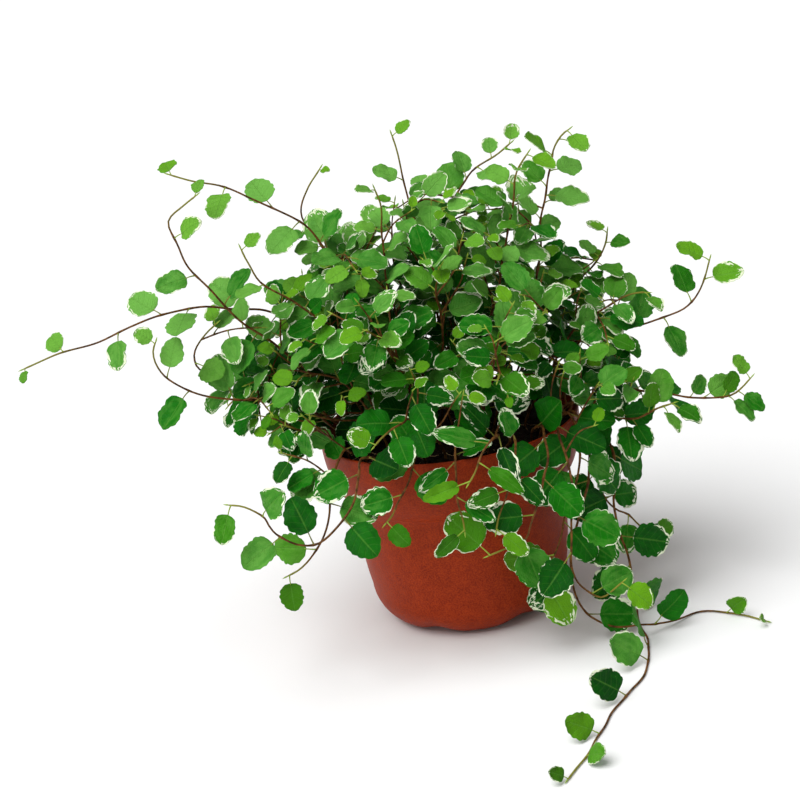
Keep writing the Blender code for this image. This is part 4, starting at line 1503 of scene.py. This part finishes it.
@dataclass
class Pot:
    """The pot: a thin turned shell with small feet and drain holes."""

    finishes: Finishes
    segments: int = 120
    corner_steps: int = 12
    crease: float = math.radians(42)

    def collar(self) -> list[tuple[float, float]]:
        """The bulging collar, from under the lip down to the step."""
        points = [
            Vector((RIM_RADIUS, 0, POT_HEIGHT - 0.6 * MM)),
            Vector((RIM_RADIUS - 0.3 * MM, 0, 84 * MM)),
            Vector((58.4 * MM, 0, 76 * MM)),
            Vector((55.6 * MM, 0, 68 * MM)),
            Vector((52.8 * MM, 0, 63.6 * MM)),
            Vector((STEP_RADIUS, 0, STEP_HEIGHT)),
        ]
        line = Route(points).line[::3]
        return [(point.x, point.z) for point in line]

    def outer(self) -> list[tuple[float, float]]:
        """The outer side from the lip to the middle of the foot."""
        wall = [(50.2 * MM, 60.4 * MM), (49.7 * MM, 58 * MM), (49.4 * MM, 52 * MM), (49.2 * MM, 46 * MM)]
        wall += [(48.9 * MM, 39 * MM), (48.4 * MM, 32 * MM), (47.6 * MM, 25 * MM)]
        corner = []
        for i in range(self.corner_steps + 1):
            angle = 0.5 * math.pi * i / self.corner_steps
            x = FOOT_RADIUS + (46.4 * MM - FOOT_RADIUS) * math.cos(angle)
            corner.append((x, 18 * MM * (1 - math.sin(angle))))
        foot = [(share * FOOT_RADIUS, 0.0) for share in (0.9, 0.8, 0.65, 0.5, 0.3, 0.0)]
        return self.collar() + wall + corner + foot

    def profile(self) -> list[tuple[float, float]]:
        """The closed section: the outer side, then the inner side back up to the rounded lip."""
        outer = self.outer()
        inner = []
        for i, (radius, height) in enumerate(outer):
            ahead = outer[min(i + 1, len(outer) - 1)]
            behind = outer[max(i - 1, 0)]
            run = Vector((ahead[0] - behind[0], ahead[1] - behind[1])).normalized()
            inner.append((max(0.0, radius + run.y * WALL), height - run.x * WALL))
        inner[-1] = (0.0, WALL)
        lip = [
            (RIM_RADIUS - 1.1 * MM, POT_HEIGHT - 0.35 * MM),
            (RIM_RADIUS - 0.85 * MM, POT_HEIGHT),
            (RIM_RADIUS - 0.35 * MM, POT_HEIGHT),
            (RIM_RADIUS - 0.08 * MM, POT_HEIGHT - 0.25 * MM),
        ]
        return list(reversed(inner)) + lip + outer

    @staticmethod
    def channel_rise(x: float, y: float, height: float) -> float:
        """How far the foot is raised at a point: radial channels between the feet."""
        wave = 0.5 + 0.5 * math.cos(FOOT_COUNT * math.atan2(y, x))
        inward = min(1.0, max(0.0, (math.hypot(x, y) - 14 * MM) / (12 * MM)))
        low = max(0.0, 1 - max(0.0, height) / (12 * MM))
        return CHANNEL_RISE * wave**3 * inward * low

    def build(self) -> bpy.types.Object:
        """Turn the shell, raise its channels and drill its drain holes.

        Returns:
            The piece, in place of the part's pot.
        """
        bm = bmesh.new()
        corners = [bm.verts.new((radius, 0, height)) for radius, height in self.profile()]
        for first, second in zip(corners, corners[1:]):
            bm.edges.new((first, second))
        bmesh.ops.spin(
            bm,
            geom=list(bm.verts) + list(bm.edges),
            cent=(0, 0, 0),
            axis=(0, 0, 1),
            angle=2 * math.pi,
            steps=self.segments,
        )
        bmesh.ops.remove_doubles(bm, verts=bm.verts, dist=2e-6)
        bmesh.ops.recalc_face_normals(bm, faces=bm.faces)
        for vertex in bm.verts:
            vertex.co.z += self.channel_rise(vertex.co.x, vertex.co.y, vertex.co.z)
        mesh = bpy.data.meshes.new("pot_fine")
        bm.to_mesh(mesh)
        bm.free()
        made = bpy.data.objects.new("pot_fine", mesh)
        bpy.context.scene.collection.objects.link(made)
        self.drill(made)
        made.data.materials.clear()
        made.data.materials.append(self.finishes.plastic)
        made.data.shade_smooth()
        made.data.set_sharp_from_angle(angle=self.crease)
        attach(made, "root")
        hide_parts("pot")
        return made

    def drill(self, pot: bpy.types.Object) -> None:
        """Cut the drain holes."""
        bm = bmesh.new()
        for i in range(DRAIN_COUNT):
            angle = 2 * math.pi * (i + 0.5) / DRAIN_COUNT
            x, y = DRAIN_CIRCLE * math.cos(angle), DRAIN_CIRCLE * math.sin(angle)
            bmesh.ops.create_cone(
                bm,
                cap_ends=True,
                segments=28,
                radius1=DRAIN_RADIUS,
                radius2=DRAIN_RADIUS,
                depth=12 * MM,
                matrix=Matrix.Translation((x, y, 1 * MM)),
            )
        mesh = bpy.data.meshes.new("drain_cutter")
        bm.to_mesh(mesh)
        bm.free()
        cutter = bpy.data.objects.new("drain_cutter", mesh)
        bpy.context.scene.collection.objects.link(cutter)
        cut = pot.modifiers.new("drains", "BOOLEAN")
        cut.operation = "DIFFERENCE"
        cut.object = cutter
        bpy.context.view_layer.update()
        graph = bpy.context.evaluated_depsgraph_get()
        pot.data = bpy.data.meshes.new_from_object(pot.evaluated_get(graph))
        pot.modifiers.clear()
        bpy.data.objects.remove(cutter)


def soil_height(x: float, y: float) -> float:
    """Height of the soil's surface, as in the part's source."""
    u = x / MM
    v = y / MM
    lumps = math.sin(0.21 * u + 1.3) * math.sin(0.17 * v - 0.4) + 0.6 * math.sin(0.37 * u - 0.29 * v)
    edge = math.hypot(x, y) / RIM_RADIUS
    return SOIL_TOP + SOIL_BUMP * lumps * (1 - edge**4) - 2.5 * MM * edge**6


@dataclass
class Soil:
    """Damp peat with crumbs and threads of root on it."""

    finishes: Finishes
    radius: float = 57.6 * MM
    rings: int = 44
    spokes: int = 120
    crumbs: int = 520
    fibres: int = 70
    roughness: float = 0.75 * MM
    lower_rings: tuple[tuple[float, float], ...] = ((55, 70), (49, 61), (47.5, 56), (46, 24), (27, 5))

    def ground(self, x: float, y: float) -> float:
        """Height of the crumbly surface at a point."""
        rough = noise.fractal(Vector((x, y, 0)) * 260, 0.6, 2.2, 4)
        return soil_height(x, y) + self.roughness * rough

    def bed(self) -> bpy.types.Object:
        """The bed of peat: its rough top, and plain sides and bottom out of sight.

        Returns:
            The piece, in place of the part's soil.
        """
        shape = Shape()
        points = [Vector((0, 0, self.ground(0, 0)))]
        for ring in range(1, self.rings + 1):
            radius = self.radius * ring / self.rings
            for k in range(self.spokes):
                angle = 2 * math.pi * k / self.spokes
                x, y = radius * math.cos(angle), radius * math.sin(angle)
                points.append(Vector((x, y, self.ground(x, y))))
        for radius, height in self.lower_rings:
            for k in range(self.spokes):
                angle = 2 * math.pi * k / self.spokes
                points.append(Vector((radius * math.cos(angle), radius * math.sin(angle), height)) * MM)
        points.append(Vector((0, 0, 5 * MM)))
        faces: list[tuple[int, ...]] = [(0, 1 + k, 1 + (k + 1) % self.spokes) for k in range(self.spokes)]
        rows = self.rings + len(self.lower_rings) - 1
        for ring in range(rows):
            for k in range(self.spokes):
                a = 1 + ring * self.spokes + k
                b = 1 + ring * self.spokes + (k + 1) % self.spokes
                faces.append((a, a + self.spokes, b + self.spokes, b))
        last = 1 + rows * self.spokes
        faces += [(len(points) - 1, last + (k + 1) % self.spokes, last + k) for k in range(self.spokes)]
        shape.add(points, faces, 0, [(0.5, 1.0, 0.0, 0.0)] * len(points))
        made = shape.build("soil_bed", [self.finishes.peat])
        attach(made, "root")
        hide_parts("soil")
        return made

    def spot(self, draw: random.Random, reach: float) -> tuple[float, float]:
        """A random place on the soil."""
        radius = reach * math.sqrt(draw.random())
        angle = draw.uniform(0, 2 * math.pi)
        return radius * math.cos(angle), radius * math.sin(angle)

    def litter(self) -> bpy.types.Object:
        """Crumbs of peat, one mesh of small uneven lumps sunk into the bed."""
        draw = random.Random("crumbs")
        bm = bmesh.new()
        for _ in range(self.crumbs):
            x, y = self.spot(draw, 55 * MM)
            size = draw.uniform(0.5, 1.9) * MM
            turn = Matrix.Rotation(draw.uniform(0, 6.3), 4, "Z")
            turn = turn @ Matrix.Rotation(draw.uniform(0, 3.1), 4, "X")
            scale = Matrix.Diagonal((size, size * draw.uniform(0.5, 1), size * draw.uniform(0.4, 0.9), 1))
            spot = Matrix.Translation((x, y, self.ground(x, y) + 0.25 * size))
            made = bmesh.ops.create_icosphere(bm, subdivisions=1, radius=1, matrix=spot @ turn @ scale)
            for vertex in made["verts"]:
                vertex.co += noise.noise_vector(vertex.co * 900) * 0.25 * size
        mesh = bpy.data.meshes.new("peat_crumbs")
        bm.to_mesh(mesh)
        bm.free()
        mesh.materials.append(self.finishes.peat)
        made = bpy.data.objects.new("peat_crumbs", mesh)
        bpy.context.scene.collection.objects.link(made)
        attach(made, "root")
        return made

    def threads(self) -> bpy.types.Object:
        """Threads of root and bark fibre that lie on the peat."""
        draw = random.Random("fibres")
        shape = Shape()
        for _ in range(self.fibres):
            x, y = self.spot(draw, 54 * MM)
            heading = draw.uniform(0, 6.3)
            bend = draw.uniform(-0.35, 0.35)
            step = draw.uniform(0.9, 2.2) * MM
            points = []
            for _ in range(8):
                if math.hypot(x, y) < 56 * MM:
                    points.append(Vector((x, y, self.ground(x, y) + draw.uniform(0.1, 0.9) * MM)))
                x += step * math.cos(heading)
                y += step * math.sin(heading)
                heading += bend + draw.uniform(-0.3, 0.3)
            if len(points) > 3:
                corners, faces = tube(points, [draw.uniform(0.1, 0.22) * MM] * len(points), 5)
                shape.add(corners, faces, 0, [(0.5, 1.0, 0.0, 0.0)] * len(corners))
        made = shape.build("root_threads", [self.finishes.fibre])
        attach(made, "root")
        return made

    def build(self) -> list[bpy.types.Object]:
        """Make the bed and what lies on it."""
        return [self.bed(), self.litter(), self.threads()]


@dataclass
class Studio:
    """A pale floor, soft light and the camera where the photograph was taken from."""

    image: int = 800
    lens: float = 78.0
    sensor: float = 36.0
    distance: float = 800 * MM
    elevation: float = math.radians(17.5)
    roll: float = math.radians(8.6)
    rim_pixel: tuple[float, float] = (448.5, 418.0)
    sky: float = 0.34
    sun: float = 3.1
    sun_spread: float = math.radians(52)
    sun_place: tuple[float, float, float] = (-0.62, -0.5, 1.45)
    fill_place: tuple[float, float, float] = (-0.9, -1.3, 0.35)
    fill_size: float = 0.9
    fill_power: float = 2.0

    def floor(self) -> bpy.types.Object:
        """The floor, which isn't part of the object."""
        made_material, wiring, shader = new_material("studio_floor")
        place = wiring.add("ShaderNodeTexCoord").outputs["Object"]
        cloud = wiring.add("ShaderNodeTexNoise")
        cloud.inputs["Scale"].default_value = 3.0
        wiring.feed(cloud.inputs["Vector"], place)
        pale = wiring.blend(cloud.outputs["Fac"], (0.88, 0.88, 0.88, 1), (0.9, 0.9, 0.9, 1))
        wiring.feed(shader.inputs["Base Color"], pale)
        shader.inputs["Roughness"].default_value = 0.9
        bm = bmesh.new()
        bmesh.ops.create_grid(bm, x_segments=1, y_segments=1, size=14)
        mesh = bpy.data.meshes.new("studio_floor")
        bm.to_mesh(mesh)
        bm.free()
        mesh.materials.append(made_material)
        made = bpy.data.objects.new("studio_floor", mesh)
        bpy.context.scene.collection.objects.link(made)
        return made

    def camera(self) -> bpy.types.Object:
        """The camera: it looks down at the rim, turned a little, with the rim at its pixel."""
        back = Vector((0, -math.cos(self.elevation), math.sin(self.elevation)))
        right = Vector((1, 0, 0))
        up = right.cross(-back)
        side = right * math.cos(self.roll) - up * math.sin(self.roll)
        top = right * math.sin(self.roll) + up * math.cos(self.roll)
        scale = self.distance * self.sensor / self.lens / self.image
        half = self.image / 2
        place = Vector((0, 0, POT_HEIGHT)) + back * self.distance
        place -= side * (self.rim_pixel[0] - half) * scale
        place += top * (self.rim_pixel[1] - half) * scale
        data = bpy.data.cameras.new("photo_camera")
        data.lens = self.lens
        data.sensor_width = self.sensor
        data.clip_end = 50
        made = bpy.data.objects.new("photo_camera", data)
        turn = Matrix((side, top, back)).transposed().to_4x4()
        made.matrix_world = Matrix.Translation(place) @ turn
        bpy.context.scene.collection.objects.link(made)
        bpy.context.scene.camera = made
        return made

    def lamp(self, name: str, place: Vector, size: float, power: float) -> None:
        """A soft square light that points at the bush."""
        data = bpy.data.lights.new(name, "AREA")
        data.size = size
        data.energy = power
        made = bpy.data.objects.new(name, data)
        made.location = place
        made.rotation_euler = (Vector((0, 0, 0.1)) - place).to_track_quat("-Z", "Y").to_euler()
        bpy.context.scene.collection.objects.link(made)

    def build(self) -> None:
        """Set the floor, the lights and the camera."""
        self.floor()
        self.camera()
        world = bpy.data.worlds.new("studio")
        bpy.context.scene.world = world
        world.use_nodes = True
        sky = world.node_tree.nodes["Background"]
        sky.inputs["Color"].default_value = (1, 1, 1, 1)
        sky.inputs["Strength"].default_value = self.sky
        sun = bpy.data.lights.new("window", "SUN")
        sun.energy = self.sun
        sun.angle = self.sun_spread
        made = bpy.data.objects.new("window", sun)
        made.rotation_euler = (-Vector(self.sun_place)).to_track_quat("-Z", "Y").to_euler()
        bpy.context.scene.collection.objects.link(made)
        self.lamp("fill", Vector(self.fill_place), self.fill_size, self.fill_power)


def main() -> None:
    """Build every piece, then light the scene and place the camera."""
    logging.basicConfig(level=logging.INFO, format="%(message)s")
    bpy.context.scene.view_settings.view_transform = "Standard"
    Studio().build()
    finishes = Finishes()
    obstacles = Obstacles()
    for name in ("pot", "soil"):
        mesh = frame["nodes"][name].data
        obstacles.add([v.co.copy() for v in mesh.vertices], [tuple(p.vertices) for p in mesh.polygons])
    pieces = [Pot(finishes).build()]
    pieces += Soil(finishes).build()
    pieces += Plant(finishes, obstacles).build()
    for piece in pieces:
        LOG.info("%s: %d faces", piece.name, len(piece.data.polygons))


if __name__ == "__main__":
    main()
